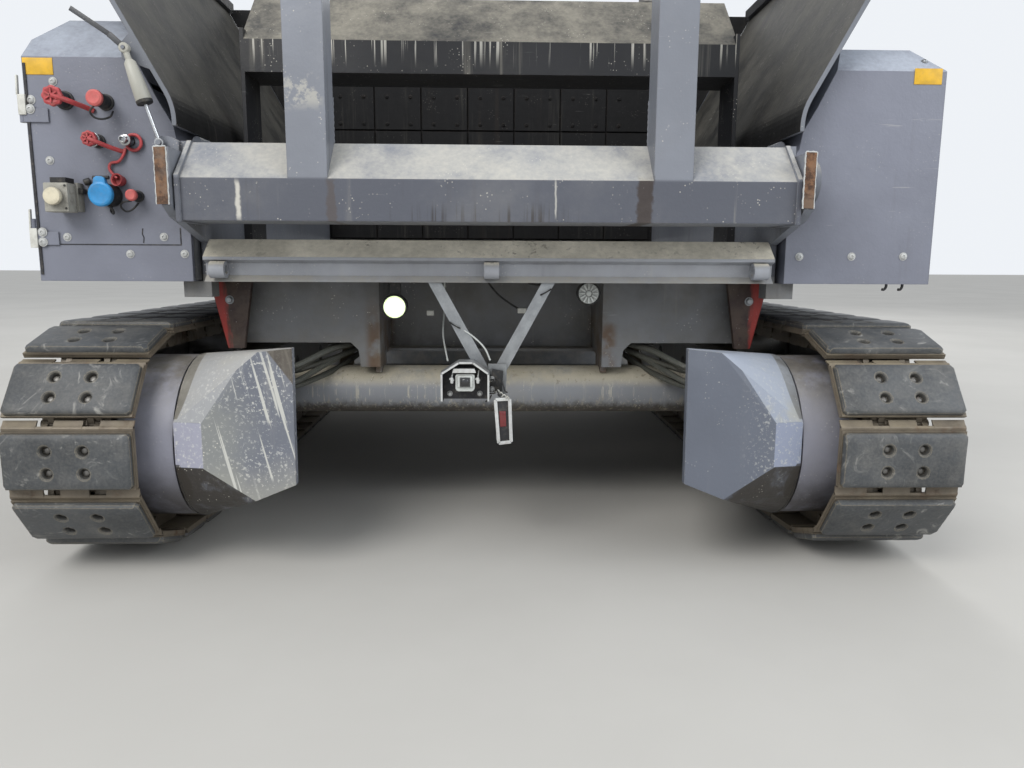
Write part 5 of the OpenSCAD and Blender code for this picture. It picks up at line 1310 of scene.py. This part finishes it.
def canopy_trim():
    """Work lights under the rim, the roof's ribs, and the plates and bolts at the posts' feet."""
    black, lit, ribs = Mesh(), Mesh(), Mesh()
    for y, d in ((2862, -1), (4418, 1)):
        for x in (-900, -300, 300, 900):
            black.prism([(x - 62, 3064), (x + 62, 3064), (x + 58, 3132), (x - 58, 3132)], 1,
                        y - d * 4, y - d * 60)
            black.box(x - 8, x + 8, y - d * 20, y - d * 40, 3130, 3200)
            for k in range(3):
                lit.lathe((x - 36 + k * 36, y - d * 5, 3098), (0, d, 0), [(0, 15), (3, 15), (4, 11)], 20)
    for y in range(3050, 4400, 240):
        ribs.tube([(1255 * cos(u), y, 3207 + 45 * sin(u)) for u in turns(24)[1:12]], 5, 8)
    make("canopy_lamps", black, "black", bevel=2)
    make("canopy_lamp_lenses", lit, "frost")
    make("canopy_ribs", ribs, "upper")
    plates = Mesh()
    bolts = []
    for x, y in POSTS:
        plates.box(x - 62, x + 62, y - 62, y + 62, 1348, 1358)
        bolts += [(x + a, y + b, 1358) for a in (-48, 48) for b in (-48, 48)]
    make("canopy_feet", plates, "upper", bevel=1.5)
    studs("canopy_foot_bolts", bolts, UP, "bolt", 9)


def hopper_trim():
    """Carriage bolts of the wear plates, and the drag chains of the two conveyors."""
    rows = [(x, 1980, z) for z in (1540, 1667) for x in range(-740, 741, 114)]
    studs("back_plate_bolts", rows, FRONT, "dome", 8, "back")
    m = Mesh()
    for x in (-755, -75, 75, 755):
        for k in range(45):
            y = 380 + k * 72
            for dx in (-9, 9) if k % 2 else (-5, 5):
                m.prism([(y - 42, 868), (y + 42, 868), (y + 46, 876), (y + 42, 884), (y - 42, 884),
                         (y - 46, 876)], 0, x + dx - 2.4, x + dx + 2.4)
            m.cyl((x - 12, y + 36, 876), (x + 12, y + 36, 876), 7, 10)
    make("conveyor_chains", m, "chain")


def screed_trim():
    """Bolts and joint strips on the screed's walkway."""
    points = [(x, y, WALKWAY_Z) for x in range(-1140, 1141, 380) for y in (4670, 5040)]
    studs("walkway_bolts", points, UP, "bolt", 9, body="screed")
    m = Mesh()
    for x in (-570, 570):
        m.box(x - 20, x + 20, 4642, 5078, WALKWAY_Z - 0.5, WALKWAY_Z + 3)
    make("walkway_strips", m, "steel", "screed", bevel=1)


seats()
console_fittings()
hood_trim()
canopy_trim()
hopper_trim()
screed_trim()


# Floor, world and lamps
def floor():
    """Plain pale ground, for the picture only."""
    me = bpy.data.meshes.new("floor")
    me.from_pydata([(-60, -60, 0), (60, -60, 0), (60, 60, 0), (-60, 60, 0)], [], [(0, 1, 2, 3)])
    t = Tree("floor_plain")
    t.base("#bcbab5", "#c3c1bc", 0.3, 0.7, 0.7, 5)
    me.materials.append(t.finish(Roughness=0.9))
    place("floor", me)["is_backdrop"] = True


def sky():
    """Soft even light; the camera, mirrors and glass see a plain pale background."""
    world = bpy.data.worlds.new("world")
    bpy.context.scene.world = world
    world.use_nodes = True
    w = Nodes(world.node_tree)
    lit = w.n("Background", Color=(0.93, 0.96, 1.0, 1), Strength=0.80).outputs[0]
    seen = w.n("Background", Color=(0.86, 0.89, 0.93, 1), Strength=1.0).outputs[0]
    rays = w.n("LightPath").outputs
    straight = w.math("MAXIMUM", rays["Is Camera Ray"], rays["Is Glossy Ray"])
    straight = w.math("MAXIMUM", straight, rays["Is Transmission Ray"])
    w.n("OutputWorld", Surface=w.n("MixShader", i0=straight, i1=lit, i2=seen).outputs[0])


def area(name, loc, target, size, power, color=(1, 1, 1)):
    """A round lamp that looks at a target."""
    data = bpy.data.lights.new(name, "AREA")
    data.shape, data.size, data.energy, data.color = "DISK", size, power, color
    o = place(name, data)
    o.location = loc
    o.rotation_euler = (Vector(target) - Vector(loc)).to_track_quat("-Z", "Y").to_euler()


floor()
sky()
area("key", (-4.5, -9.0, 7.5), (0, -1.5, 1.0), 6.0, 650, (1.0, 0.98, 0.95))
area("fill", (7.0, -6.0, 4.5), (0, -1.0, 0.8), 6.0, 280, (0.92, 0.96, 1.0))
area("back", (2.0, 8.5, 7.0), (0, 1.0, 1.5), 6.0, 400)
bpy.context.scene.view_settings.view_transform = "Standard"
sizes = {"cad": cad_box, "visual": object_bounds()}
sizes = {k: [list(map(float, p)) for p in v] for k, v in sizes.items()}
